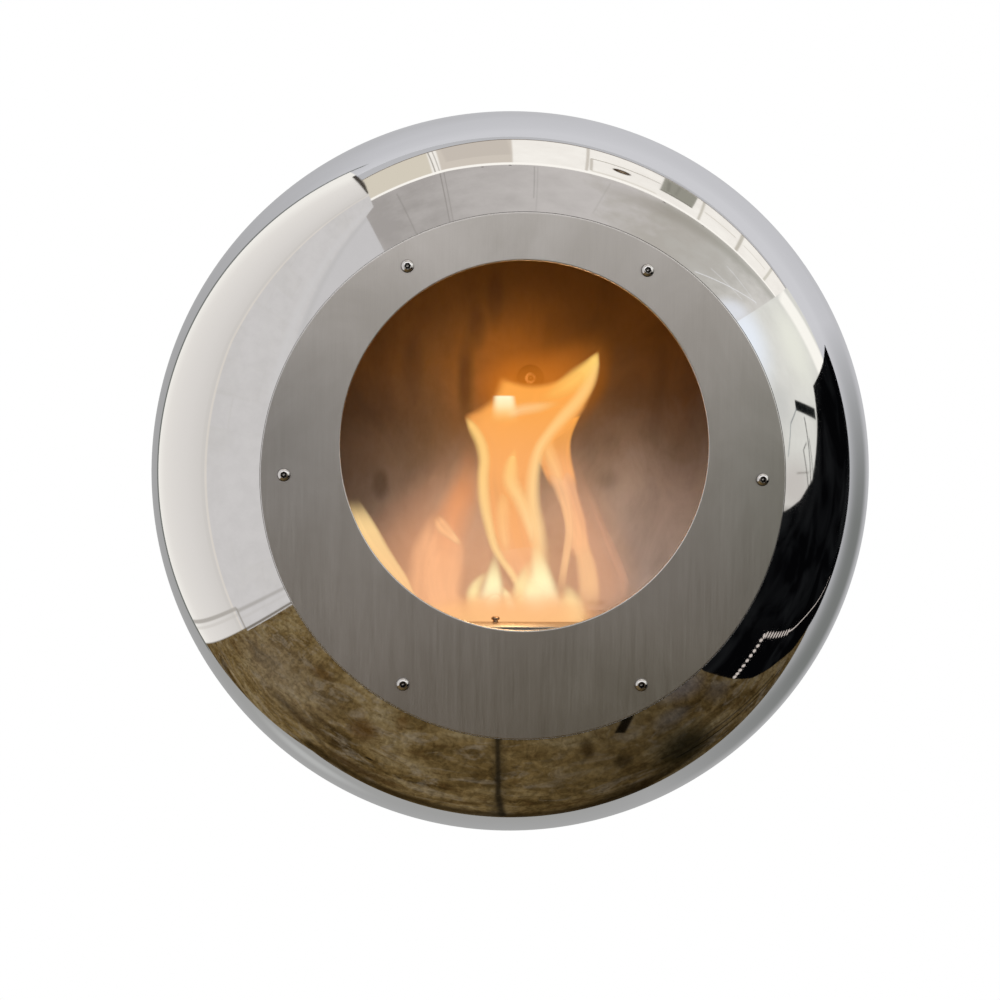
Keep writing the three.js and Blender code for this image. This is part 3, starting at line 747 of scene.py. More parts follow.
for index in range(6):
    screw, nut = f"plate_screw_{index + 1}", f"plate_nut_{index + 1}"
    dress(makeButtonScrew(screw, index), "pod", finishes["screw"], [screw])
    dress(makeHexNut(nut), "pod", finishes["screw"], [nut])
dress(makeButtonScrew("lock_bolt", 6), "pod", finishes["heatedAndFlameLit"], ["lock_bolt"])
dress(makeHexNut("lock_nut"), "pod", finishes["screw"], ["lock_nut"])
dress(makeWasher("lock_washer"), "pod", finishes["tinted"], ["lock_washer"])
print("fasteners made")


firebox = dict(
    wall=1.5 * mm,
    flange=10.5 * mm,
    edgeRound=0.4 * mm,
    dish=0.5 * mm,
    linerColumns=240,
    panelRings=60,
    panelColumns=180,
)


# The round side wall with a flange at its front, as a closed section turned round the pod's axis.
def makeLiner():
    low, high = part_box("firebox_liner")
    rim = high.x
    outside = rim - firebox["flange"]
    bore = outside - firebox["wall"]
    corners = [
        (bore, low.y),
        (rim, low.y),
        (rim, low.y + firebox["wall"]),
        (outside, low.y + firebox["wall"]),
        (outside, high.y),
        (bore, high.y),
    ]
    soft = firebox["edgeRound"]
    profile = roundedProfile(corners, [soft, soft, soft, 0, 0, 0])
    return turned("fireboxLiner", profile, firebox["linerColumns"])


# A disc whose front is dished by the heat: y is pushed back by dish * (waves) * (1 - (r/R)^2).
def makeBackPanel():
    low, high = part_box("firebox_back")
    outer = high.x
    soft = firebox["edgeRound"]
    reach = np.linspace(0, outer - soft, firebox["panelRings"])
    front = np.stack([reach, np.full_like(reach, low.y)], -1)
    edge = np.array([(outer, low.y + soft), (outer, high.y - soft), (outer - soft, high.y), (0, high.y)])
    profile = np.concatenate([front, edge])
    columns = firebox["panelColumns"]
    angle = np.arange(columns) * 2 * np.pi / columns
    x, z = profile[:, :1] * np.cos(angle), profile[:, :1] * np.sin(angle)
    waves = 0.5 + 0.25 * np.sin(x * 31 + 0.7) * np.cos(z * 23) + 0.25 * np.cos(x * 17 - z * 28)
    fade = np.clip(1 - (profile[:, :1] / outer) ** 2, 0, 1)
    onFront = (np.arange(len(profile)) < len(reach))[:, None]
    y = profile[:, 1:] + firebox["dish"] * waves * fade * onFront
    return gridMesh("fireboxBack", np.stack([x, y, z], -1), closedRows=False)


dress(makeLiner(), "pod", finishes["liner"], ["firebox_liner"])
dress(makeBackPanel(), "pod", finishes["panel"], ["firebox_back"])

softened = [
    ("hearth_deck", "pod", "burner", "burner_steel", 0.3),
    ("burner_well", "pod", "sheet", "sheet_steel", 0.5),
    ("deck_support_left", "pod", "sheet", "sheet_steel", 0.4),
    ("deck_support_right", "pod", "sheet", "sheet_steel", 0.4),
    ("burner_tray", "burner", "burner", "burner_steel", 0.35),
    ("burner_top", "burner", "burner", "burner_steel", 0.35),
    ("pad_screen", "burner", "sheet", "sheet_steel", 0.2),
    ("damper_rail_left", "burner", "burner", "burner_steel", 0.3),
    ("damper_rail_right", "burner", "burner", "burner_steel", 0.3),
    ("damper_lid", "damper", "burner", "burner_steel", 0.35),
    ("wall_bracket", "bracket", "paint", "bracket_paint", 0.8),
    ("hanger", "pod", "sheet", "sheet_steel", 0.8),
    *[(f"rear_stay_{i}", "pod", "sheet", "sheet_steel", 0.5) for i in (1, 2, 3, 4)],
]
for node, body, finish, slot, width in softened:
    dress(softenedCopy(node, width * mm), body, finishes[finish], [node])

nodes["joining_ring"].material_slots[0].link = "OBJECT"
nodes["joining_ring"].material_slots[0].material = finishes["sheet"]
print("firebox, burner and bracket made")


pad = dict(squareness=0.16, dent=0.012, rows=90, columns=140, sharpDegrees=60)


# A sine or cosine flattened towards its ends: sign(v) |v|^squareness.
def squared(value):
    return np.sign(value) * np.abs(value) ** pad["squareness"]


# A block with rounded corners: |x|, |y|, |z| follow powers of cosine and sine, and waves dent its skin.
def makeWoolPad():
    low, high = (np.array(c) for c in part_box("wool_pad"))
    middle, half = (low + high) / 2, (high - low) / 2
    along = np.linspace(-np.pi / 2, np.pi / 2, pad["rows"])[:, None]
    around = np.arange(pad["columns"])[None] * 2 * np.pi / pad["columns"]
    x = squared(np.sin(along)) * np.ones_like(around)
    y = squared(np.cos(along)) * squared(np.cos(around))
    z = squared(np.cos(along)) * squared(np.sin(around))
    dent = 1 - pad["dent"] * (1 + np.sin(x * 23 + y * 9) * np.cos(y * 17 - z * 5))
    points = np.stack([x, y, z], -1) * dent[..., None] * half + middle
    return gridMesh("woolPad", points, closedRows=False, sharpDegrees=pad["sharpDegrees"])


knob = dict(
    section=[
        (0, 0), (0.6, 0), (0.6, 0.35), (0.86, 0.4), (1, 0.52), (1, 0.66), (0.88, 0.86), (0.6, 0.97), (0, 1),
    ],
    rows=40,
    columns=48,
)


# The knob's section, in shares of its radius and height, turned round an upright axis.
def makeKnob():
    low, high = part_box("damper_knob")
    radius, height = (high.x - low.x) / 2, high.z - low.z
    profile = smoothLine(knob["section"], knob["rows"]) * (radius, height) + (0, low.z)
    profile[:, 0] = np.clip(profile[:, 0], 0, radius)
    centre = ((low.x + high.x) / 2, (low.y + high.y) / 2)
    return turned("damperKnob", profile, knob["columns"], centre, "Z", closedRows=False)


# A smooth line through points: each stretch is the cubic whose slopes are half the neighbours' difference.
def smoothLine(points, count):
    points = np.asarray(points, float)
    padded = np.concatenate([[2 * points[0] - points[1]], points, [2 * points[-1] - points[-2]]])
    place = np.linspace(0, len(points) - 1, count)
    index = np.minimum(place.astype(int), len(points) - 2)
    t = (place - index)[:, None]
    a, b, c, d = (padded[index + i] for i in range(4))
    return 0.5 * (
        2 * b + (c - a) * t + (2 * a - 5 * b + 4 * c - d) * t**2 + (3 * b - a - 3 * c + d) * t**3
    )


dress(makeWoolPad(), "burner", finishes["wool"], ["wool_pad"])
dress(makeKnob(), "damper", finishes["burner"], ["damper_knob"])
print("wool and knob made")


# What each look says, in this order: screen colours at the foot and the tip, how strongly it glows and
# covers, how soft-sided, hollow and streaked it is, and where its foot has faded in and its tip fades.
lookParts = ("low", "high", "glow", "opacity", "fade", "hollow", "streaks", "foot", "tip")
flameLooks = dict(
    body=((250, 178, 118), (255, 170, 76), 1.0, 0.72, 0.24, 0.0, 0.2, 0.25, 0.965),
    crest=((255, 188, 92), (255, 216, 120), 1.0, 0.75, 1.0, 0.0, 0.1, 0.45, 0.85),
    ridge=((255, 214, 158), (255, 207, 122), 1.02, 0.76, 1.0, 0.0, 0.12, 0.2, 0.93),
    strand=((255, 204, 146), (255, 196, 120), 1.0, 0.6, 1.0, 0.0, 0.2, 0.25, 0.6),
    edged=((255, 204, 152), (252, 190, 138), 1.0, 0.85, 0.7, 0.35, 0.2, 0.25, 0.75),
    core=((255, 246, 204), (255, 238, 176), 1.06, 1.0, 0.9, 0.0, 0.05, 0.25, 0.5),
    flare=((255, 196, 100), (255, 250, 208), 1.04, 0.92, 0.7, 0.0, 0.0, 0.75, 0.92),
    veil=((255, 190, 140), (252, 186, 138), 1.0, 0.6, 0.5, 0.1, 0.3, 0.1, 0.7),
    warm=((240, 170, 124), (240, 150, 84), 1.0, 0.5, 1.0, 0.0, 0.15, 0.15, 0.5),
    thin=((228, 176, 146), (214, 158, 126), 0.95, 0.3, 0.5, 0.25, 0.3, 0.2, 0.5),
    haze=((255, 186, 138), (234, 162, 120), 1.0, 0.23, 1.0, 0.0, 0.15, 0.05, 0.25),
    base=((255, 196, 134), (255, 186, 130), 1.0, 0.75, 0.6, 0.0, 0.25, 0.1, 0.3),
    bright=((255, 226, 164), (255, 232, 172), 1.03, 0.85, 1.0, 0.0, 0.15, 0.3, 0.5),
    far=((255, 196, 142), (255, 222, 156), 1.0, 0.85, 0.5, 0.0, 0.15, 0.2, 0.72),
    glow=((222, 124, 34), (226, 130, 42), 0.95, 0.42, 1.0, 0.0, 0.0, 0.3, 0.35),
    halo=((186, 104, 22), (178, 98, 20), 0.9, 0.2, 1.0, 0.0, 0.0, 0.5, 0.5),
)

# Pixel places of the photograph, from the foot up: a tongue has a look, how far it stands ahead of the
# widest circle in mm, a spine and half-widths.
flameTongues = dict(
    rightGlow=(
        "halo", 12, [(566, 440), (584, 412), (596, 388), (603, 364), (606, 336)],
        [6, 13, 15, 14, 6],
    ),
    leftRidge=(
        "ridge", 26,
        [(522, 606), (520, 590), (512, 574), (502, 560), (494, 545), (488, 522), (484, 500), (483, 478),
         (484, 460), (481, 444), (474, 430), (465, 416)],
        [4, 5, 5, 5, 6, 7, 8, 8, 8, 8, 7, 2],
    ),
    rightRidge=(
        "ridge", 22,
        [(542, 600), (541, 562), (537, 532), (533, 510), (532, 490), (534, 468), (539, 449), (549, 434),
         (563, 417), (577, 401), (588, 384), (594, 368), (598, 352)],
        [9, 12, 12, 11, 10, 9, 8, 8, 9, 9, 9, 7, 2],
    ),
    innerStrand=(
        "ridge", 24, [(534, 548), (528, 522), (520, 500), (511, 482), (511, 466), (515, 448)],
        [4, 8, 10, 11, 9, 1.5],
    ),
    innerLeft=("strand", 23, [(508, 560), (503, 530), (503, 505), (506, 484)], [5, 9, 9, 3]),
    crest=(
        "crest", 25, [(538, 400), (558, 391), (576, 379), (589, 367), (599, 351)],
        [5, 10, 13, 10, 2],
    ),
    crossBand=("strand", 28, [(506, 416), (520, 410), (540, 407), (562, 402)], [5, 8, 7, 3]),
    rootPatch=("strand", 21, [(562, 486), (555, 468), (549, 450), (551, 434)], [4, 9, 9, 4]),
    nearStrand=(
        "edged", 18,
        [(560, 598), (563, 575), (567, 550), (569, 530), (567, 510), (562, 490), (555, 470), (549, 452)],
        [7, 5, 5, 5, 6, 9, 9, 5],
    ),
    outerStrand=(
        "edged", 14,
        [(586, 614), (589, 592), (587, 570), (582, 549), (575, 529), (568, 510), (562, 490)],
        [15, 13, 12, 10, 9, 8, 4],
    ),
    veilEdge=(
        "thin", 12, [(628, 592), (622, 574), (612, 549), (602, 526), (592, 500), (582, 476)],
        [4, 5, 5, 4, 4, 3],
    ),
    leftLobe=(
        "bright", 30, [(494, 622), (481, 612), (474, 600), (475, 589), (482, 578), (490, 571)],
        [14, 12, 10, 9, 6, 2],
    ),
    leftCore=(
        "core", 32, [(490, 620), (491, 603), (493, 588), (494, 572), (495, 549)],
        [20, 16, 13, 9, 2],
    ),
    leftFoot=("core", 33, [(514, 616), (509, 604), (506, 594), (503, 586)], [12, 8, 5, 2]),
    middleCore=(
        "bright", 31, [(522, 626), (521, 606), (522, 590), (525, 575), (530, 558)],
        [18, 15, 12, 9, 3],
    ),
    rightCore=(
        "core", 29, [(549, 622), (545, 602), (542, 584), (539, 566), (534, 538)],
        [24, 20, 16, 12, 3],
    ),
    heart=("core", 36, [(536, 618), (534, 603), (532, 588), (530, 572)], [19, 17, 12, 3]),
    rightFoot=("bright", 34, [(566, 628), (570, 612), (570, 598), (565, 582)], [26, 20, 13, 4]),
    peakLine=("edged", 16, [(462, 546), (452, 536), (443, 527), (435, 515)], [2, 5, 8, 4]),
)
# A sheet has a look, how far ahead, its left and right edges, and how far its tip sags, in pixels.
flameSheets = dict(
    wideHalo=(
        "halo", -45,
        [(426, 330), (470, 296), (520, 282), (572, 284), (634, 304)],
        [(426, 474), (470, 480), (520, 474), (576, 458), (642, 410)], 0,
    ),
    crestGlow=(
        "glow", -18,
        [(464, 356), (504, 350), (542, 344), (576, 330), (614, 308)],
        [(468, 428), (512, 426), (552, 416), (588, 398), (624, 370)], 0,
    ),
    lowHaze=(
        "haze", 4,
        [(400, 624), (352, 590), (356, 545), (398, 505), (438, 465), (472, 425)],
        [(612, 624), (626, 590), (616, 545), (600, 505), (586, 465), (574, 425)], 0,
    ),
    mainBody=(
        "body", 20,
        [(520, 596), (506, 566), (493, 542), (484, 510), (478, 480), (479, 460), (476, 440), (463, 417),
         (475, 408), (490, 396), (499, 373)],
        [(546, 596), (546, 566), (541, 542), (538, 512), (536, 485), (541, 462), (554, 444), (568, 430),
         (583, 408), (598, 382), (602, 343)], 22,
    ),
    glowBody=(
        "body", 15,
        [(490, 500), (486, 470), (484, 445), (474, 422), (490, 402), (502, 378)],
        [(538, 500), (537, 470), (550, 446), (572, 428), (592, 398), (601, 346)], 22,
    ),
    branchRoot=(
        "body", 17,
        [(550, 490), (542, 472), (536, 454), (541, 438), (553, 422)],
        [(580, 490), (575, 470), (572, 452), (573, 436), (582, 414)], 0,
    ),
    rightBranch=(
        "veil", 16,
        [(566, 560), (567, 525), (563, 500), (556, 480), (550, 464), (548, 448)],
        [(592, 560), (588, 525), (581, 500), (576, 480), (572, 462), (571, 446)], 0,
    ),
    footBody=(
        "veil", 19,
        [(520, 618), (516, 596), (504, 572), (494, 548), (488, 520), (482, 490)],
        [(562, 618), (560, 600), (552, 575), (545, 550), (540, 520), (536, 490)], 0,
    ),
    leftVeil=(
        "veil", 12,
        [(420, 622), (402, 596), (404, 570), (408, 548), (418, 528), (432, 504)],
        [(468, 622), (466, 600), (468, 580), (468, 560), (466, 544), (450, 514)], 0,
    ),
    leftVeilInner=(
        "veil", 14,
        [(440, 622), (424, 596), (420, 572), (424, 552), (434, 536)],
        [(468, 622), (462, 600), (460, 580), (462, 564), (460, 548)], 0,
    ),
    upperVeil=(
        "warm", 10,
        [(410, 590), (420, 550), (428, 518), (438, 496), (448, 472), (462, 430)],
        [(462, 590), (468, 550), (478, 518), (486, 496), (489, 472), (486, 430)], 0,
    ),
    rightVeil=(
        "thin", 8,
        [(582, 618), (588, 600), (590, 572), (586, 546), (578, 522), (570, 500), (566, 470), (566, 446)],
        [(622, 614), (632, 594), (625, 573), (614, 549), (604, 526), (594, 500), (584, 470), (572, 446)], 0,
    ),
    leftHaze=(
        "haze", -6,
        [(392, 618), (340, 588), (336, 545), (370, 505), (414, 465), (452, 430)],
        [(492, 618), (496, 588), (492, 545), (490, 505), (488, 465), (482, 430)], 0,
    ),
    rightHaze=(
        "haze", 0,
        [(520, 624), (522, 590), (526, 545), (532, 505), (540, 465), (548, 430)],
        [(640, 624), (654, 590), (642, 545), (624, 505), (602, 465), (582, 430)], 0,
    ),
    baseGlow=(
        "base", 40,
        [(430, 634), (440, 618), (452, 606), (466, 594), (486, 580)],
        [(612, 634), (604, 618), (594, 606), (582, 594), (562, 580)], 0,
    ),
    baseSheet=(
        "base", 46,
        [(404, 628), (400, 612), (424, 600), (450, 590)],
        [(604, 628), (606, 614), (596, 602), (584, 590)], 0,
    ),
    flare=(
        "flare", 36,
        [(486, 426), (489, 413), (491, 404), (492, 395)],
        [(522, 426), (520, 413), (518, 404), (516, 395)], 0,
    ),
    farLeft=(
        "far", 34,
        [(445, 626), (410, 600), (386, 574), (364, 546), (350, 520), (346, 498)],
        [(450, 608), (420, 598), (408, 576), (391, 549), (377, 524), (359, 496)], 0,
    ),
)


# Emission and opacity by the flame's own map: u runs across, v from the foot to the tip. Opacity is a
# soft edge across, times the hollow middle, times a fade at both ends, times the streaks.
def makeFlameMaterial(name, look):
    look = dict(zip(lookParts, look))
    material = bpy.data.materials.new("flame_" + name)
    material.use_nodes = True
    material.cycles.emission_sampling = "NONE"
    tree = material.node_tree
    shader = tree.nodes["Principled BSDF"]
    shader.inputs["Base Color"].default_value = colour(0, 0, 0)
    shader.inputs["Roughness"].default_value = 1.0
    shader.inputs["Specular IOR Level"].default_value = 0.0
    place = addNode(tree, "UVMap", uv_map="surface").outputs[0]
    axes = addNode(tree, "SeparateXYZ", {0: place})
    v = axes.outputs["Y"]
    off = maths(tree, "ABSOLUTE", maths(tree, "MULTIPLY_ADD", axes.outputs["X"], 2.0, -1.0))
    across = ranged(tree, off, 1 - look["fade"], 1.0, 1.0, 0.0, smooth=True)
    filled = maths(tree, "MULTIPLY_ADD", off, look["hollow"], 1 - look["hollow"])
    foot = ranged(tree, v, 0.0, look["foot"], 0.0, 1.0, smooth=True)
    tip = ranged(tree, v, look["tip"], 1.0, 1.0, 0.0, smooth=True)
    streak = grain(tree, place, (3.2, 1.1, 1), 1.5, 0.5, 0.6)
    body = ranged(tree, streak, 0.35, 0.62, 1 - look["streaks"], 1.0, smooth=True)
    shape = maths(tree, "MULTIPLY", maths(tree, "MULTIPLY", across, filled), body)
    ends = maths(tree, "MULTIPLY", foot, tip)
    alpha = maths(tree, "MULTIPLY", maths(tree, "MULTIPLY", shape, ends), look["opacity"])
    glow = mixed(tree, v, screen(*look["low"]), screen(*look["high"]))
    tree.links.new(glow, shader.inputs["Emission Color"])
    shader.inputs["Emission Strength"].default_value = look["glow"]
    tree.links.new(alpha, shader.inputs["Alpha"])
    return material


lens = dict(
    tongueRows=56,
    tongueColumns=13,
    tongueDepth=0.4,
    leastWidth=0.3,
    sheetRows=60,
    sheetColumns=25,
    sheetDepth=5 * mm,
    endRound=0.4,
)


# Front and back skins of a lens: the same outline, moved apart by a thickness that is 0 at every edge.
def lensSkin(name, middle, thickness, across, along):
    offset = np.zeros_like(middle)
    offset[..., 1] = thickness
    points = np.concatenate([middle - offset, (middle + offset)[:, -2:0:-1]], 1)
    u, v = np.meshgrid(across, along)
    uv = np.stack([u, v], -1)
    uv = np.concatenate([uv, uv[:, -2:0:-1]], 1)
    return gridMesh(name, points, closedRows=False, uv=uv, sharpDegrees=180)


# Half-widths are carried along the spine at right angles to it; thickness = tongueDepth * width *
# sqrt(1 - t^2) * sin(pi v)^endRound.
def makeTongue(name, ahead, spine, halfWidths):
    line = smoothLine(spine, lens["tongueRows"])
    width = smoothLine(np.array(halfWidths)[:, None], lens["tongueRows"])
    width = np.clip(width, lens["leastWidth"], None)
    slope = np.gradient(line, axis=0)
    slope = slope / np.linalg.norm(slope, axis=1, keepdims=True)
    side = np.stack([-slope[:, 1], slope[:, 0]], -1)
    t = np.linspace(-1, 1, lens["tongueColumns"])
    pixels = line[:, None] + side[:, None] * width[:, None] * t[None, :, None]
    middle = onPlane(pixels, widestY - ahead * mm)
    metresPerPixel = (widestY - camera["place"][1]) / camera["focalPixels"]
    along = np.linspace(0, 1, len(line))
    ends = np.sin(np.pi * along)[:, None] ** lens["endRound"]
    bulge = lens["tongueDepth"] * width * metresPerPixel * np.sqrt(1 - t**2) * ends
    return lensSkin(name, middle, bulge, (t + 1) / 2, along)


# Ruled between two edges: (1 - u) left + u right + sag 4u(1-u) v^3 down; thickness = sheetDepth *
# 4u(1-u) * sin(pi v)^endRound.
def makeSheet(name, ahead, leftEdge, rightEdge, sag):
    left, right = (smoothLine(edge, lens["sheetRows"]) for edge in (leftEdge, rightEdge))
    u = np.linspace(0, 1, lens["sheetColumns"])
    along = np.linspace(0, 1, len(left))
    pixels = left[:, None] * (1 - u)[None, :, None] + right[:, None] * u[None, :, None]
    pixels[..., 1] += sag * 4 * (u * (1 - u))[None] * along[:, None] ** 3
    middle = onPlane(pixels, widestY - ahead * mm)
    ends = np.sin(np.pi * along)[:, None] ** lens["endRound"]
    bulge = lens["sheetDepth"] * (4 * u * (1 - u))[None] * ends
    return lensSkin(name, middle, bulge, u, along)


# Glows that stay by the panel, and where and how thin the flames lie in the burner's top when it is shut.
flameRest = dict(onPod=("wideHalo", "crestGlow"), rise=0.3 * mm, keep=0.002)
flameMaterials = {name: makeFlameMaterial(name, look) for name, look in flameLooks.items()}
for makeOne, group in ((makeTongue, flameTongues), (makeSheet, flameSheets)):
    for name, (look, ahead, *outline) in group.items():
        body = "pod" if name in flameRest["onPod"] else "burner"
        flame = dress(makeOne("flame_" + name, ahead, *outline), body, flameMaterials[look])
        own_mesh(flame)
print("flames made:", len(flameTongues) + len(flameSheets))


# The room that the steel reflects: flat cards, each with its own marks. Places are metres on the card,
# (x, z) on the back wall, (y, z) on the sides, (x, y) on the ceiling and the floor.
room = dict(
    wallY=0.0015,
    floorZ=-0.87,
    ceilingZ=2.2,
    leftX=-0.55,
    rightX=3.6,
    frontY=-4.2,
    polish=0.87,
    farLeft=-3.5,
    wallFoot=-0.30,
    wallEnd=-0.548,
    floorHalf=4.5,
    floorBack=1.2,
    floorFront=-4.3,
    leftFoot=[(0, -0.342), (-0.374, -0.345), (-0.376, -0.353), (-0.66, -0.358), (-1.6, -0.368)],
    leftTop=[(0, 1.08), (-0.30, 1.135), (-0.64, 1.10), (-0.66, 1.0), (-1.6, 0.99)],
)


# What a card must send for the polished steel to show a screen colour.
def seen(red, green, blue):
    return screen(red, green, blue, 1 / room["polish"])


# A bar has two ends, a half-width and a soft edge; a spot has a centre, half-sizes and a hard share. Both end
# with the screen colour that the steel shows and how strongly it covers.
ceilingMarks = dict(
    strip=[
        ("bar", (-1.15, -0.45), (-0.51, -0.45), 0.45, 0.02, (210, 202, 185), 1.0),
        ("bar", (-0.44, -0.45), (0.09, -0.45), 0.45, 0.02, (204, 195, 183), 1.0),
        ("bar", (-0.40, -0.36), (0.07, -0.34), 0.22, 0.03, (194, 185, 174), 0.8),
        ("bar", (0.63, -0.12), (0.645, -0.80), 0.012, 0.01, (190, 182, 170), 0.8),
        ("bar", (0.66, -0.41), (1.27, -0.39), 0.010, 0.01, (150, 143, 130), 0.8),
        ("bar", (0.665, -0.41), (0.68, -0.72), 0.012, 0.01, (176, 168, 154), 0.7),
        ("bar", (0.68, -0.73), (1.27, -0.72), 0.016, 0.02, (205, 198, 184), 0.6),
        ("spot", (0.922, -0.525), (0.088, 0.052), 0.8, (60, 48, 36), 1.0),
        ("spot", (0.922, -0.525), (0.05, 0.026), 0.3, (140, 120, 95), 0.8),
        ("bar", (1.285, -0.345), (1.655, -0.345), 0.225, 0.012, (146, 144, 133), 1.0),
        ("bar", (1.34, -0.2), (1.36, -0.5), 0.016, 0.03, (126, 124, 114), 0.7),
        ("bar", (1.45, -0.15), (1.44, -0.48), 0.012, 0.03, (128, 126, 116), 0.6),
        ("bar", (1.285, -0.555), (1.655, -0.555), 0.014, 0.01, (118, 115, 104), 0.8),
        ("bar", (1.74, -0.1), (1.78, -0.78), 0.016, 0.02, (184, 178, 164), 0.8),
        ("bar", (1.80, -0.42), (2.30, -0.42), 0.014, 0.02, (196, 190, 176), 0.7),
        ("bar", (2.36, -0.1), (2.42, -0.80), 0.03, 0.03, (176, 170, 156), 0.8),
        ("bar", (2.46, -0.42), (3.00, -0.42), 0.016, 0.02, (205, 200, 188), 0.6),
        ("bar", (3.08, -0.1), (3.14, -0.82), 0.03, 0.03, (190, 186, 172), 0.7),
        ("bar", (-0.500, -0.12), (-0.485, -0.85), 0.005, 0.008, (140, 134, 124), 0.8),
        ("bar", (-0.468, -0.12), (-0.453, -0.85), 0.004, 0.008, (150, 144, 134), 0.7),
        ("bar", (-1.15, -0.99), (-0.98, -0.99), 0.12, 0.05, (246, 240, 226), 0.9),
    ],
    plaster=[
        ("bar", (-0.455, -0.82), (-0.462, -1.95), 0.004, 0.008, (136, 131, 126), 0.8),
        ("bar", (-0.425, -0.82), (-0.430, -1.95), 0.004, 0.008, (140, 135, 130), 0.6),
        ("bar", (-0.84, -1.0), (-0.80, -1.98), 0.006, 0.010, (140, 136, 131), 0.6),
        ("bar", (0.250, -0.84), (0.268, -1.50), 0.004, 0.008, (140, 136, 132), 0.6),
        ("bar", (0.275, -0.84), (0.300, -1.75), 0.004, 0.008, (150, 146, 142), 0.4),
        ("bar", (0.86, -0.90), (0.80, -1.65), 0.006, 0.012, (160, 156, 150), 0.4),
        # Painted shade under the strip's edge at the right.
        ("bar", (1.35, -0.97), (3.75, -1.0), 0.10, 0.30, (150, 149, 138), 0.55),
        ("spot", (1.5, -1.05), (1.0, 0.25), 0.1, (156, 150, 141), 0.6),
        ("bar", (2.20, -2.07), (3.45, -1.67), 0.010, 0.016, (236, 236, 238), 0.8),
        ("bar", (2.35, -1.75), (3.20, -1.95), 0.007, 0.014, (225, 225, 226), 0.6),
        ("bar", (2.50, -1.40), (3.50, -1.72), 0.007, 0.014, (225, 225, 226), 0.6),
        ("spot", (3.3, -2.5), (0.6, 0.6), 0.2, (226, 230, 238), 0.7),
        ("spot", (0.071, -0.822), (0.016, 0.012), 0.4, (40, 34, 28), 0.9),
        ("spot", (-0.133, -0.832), (0.016, 0.012), 0.4, (70, 62, 54), 0.8),
        ("spot", (1.378, -0.835), (0.022, 0.018), 0.4, (40, 36, 28), 0.9),
        ("spot", (1.872, -0.835), (0.022, 0.018), 0.4, (90, 88, 80), 0.8),
    ],
)

leftMarks = [
    # A painted highlight beside the corner.
    ("bar", (-0.62, 0.0), (-0.62, 1.08), 0.02, 0.05, (203, 201, 200), 0.6),
    ("bar", (-1.10, -0.4), (-1.10, 1.08), 0.44, 0.03, (193, 191, 191), 0.7),
    ("bar", (-0.68, 0.2), (-0.68, 1.02), 0.015, 0.03, (184, 182, 180), 0.5),
    ("bar", (0.0, -0.287), (-0.374, -0.291), 0.0045, 0.004, (168, 163, 156), 0.9),
    ("bar", (0.0, -0.302), (-0.374, -0.306), 0.0035, 0.004, (190, 185, 178), 0.4),
    ("bar", (-0.374, -0.298), (-1.4, -0.312), 0.0045, 0.007, (166, 162, 157), 0.8),
    ("bar", (-0.374, -0.318), (-1.4, -0.332), 0.0035, 0.006, (184, 180, 175), 0.3),
    ("bar", (-0.374, -0.29), (-0.374, -0.36), 0.004, 0.006, (150, 145, 138), 0.8),
    ("bar", (0.0, -0.343), (-1.4, -0.360), 0.0035, 0.004, (84, 74, 58), 0.8),
    ("bar", (-0.115, 1.086), (-0.465, 1.125), 0.020, 0.010, (58, 52, 46), 1.0),
    ("bar", (-0.12, 1.112), (-0.46, 1.152), 0.006, 0.006, (120, 112, 102), 0.8),
]

wallMarks = [
    # A painted shade in the corner with the left side, and painted light at the lower left.
    ("bar", (-0.533, 1.2), (-0.533, -0.345), 0.016, 0.016, (98, 101, 96), 0.9),
    ("spot", (-0.35, -0.55), (0.18, 0.14), 0.1, (188, 189, 187), 0.6),
]

rightMarks = [
    ("spot", (-2.6, 1.9), (0.9, 1.2), 0.1, (232, 238, 246), 0.9),
    ("spot", (-2.2, 0.8), (0.6, 0.5), 0.1, (196, 196, 192), 0.7),
    ("spot", (-1.1, 1.5), (0.8, 0.9), 0.1, (230, 230, 218), 0.9),
    ("bar", (-0.55, 2.2), (-0.2, 0.9), 0.25, 0.15, (252, 249, 240), 0.9),
    ("spot", (-1.9, -0.2), (0.8, 0.5), 0.2, (192, 187, 181), 0.9),
    ("bar", (-2.4, -0.62), (-1.0, -0.60), 0.14, 0.12, (140, 134, 128), 0.8),
    ("bar", (-1.70, 0.765), (-1.05, 0.610), 0.065, 0.012, (16, 18, 18), 1.0),
    ("bar", (-1.47, 0.60), (-1.36, -0.38), 0.012, 0.010, (20, 20, 18), 0.95),
    ("bar", (-1.40, 0.35), (-1.28, -0.20), 0.010, 0.010, (30, 30, 26), 0.8),
    ("bar", (-1.62, 0.22), (-1.42, -0.32), 0.012, 0.010, (28, 26, 22), 0.9),
    ("bar", (-1.62, 0.22), (-1.50, 0.30), 0.010, 0.010, (28, 26, 22), 0.9),
    ("bar", (-1.85, -0.05), (-1.45, -0.04), 0.008, 0.010, (90, 86, 74), 0.7),
    ("bar", (-1.68, 0.72), (-1.95, 0.55), 0.010, 0.010, (110, 116, 118), 0.9),
    ("bar", (-1.95, 0.55), (-2.12, 0.15), 0.010, 0.010, (120, 128, 130), 0.9),
]

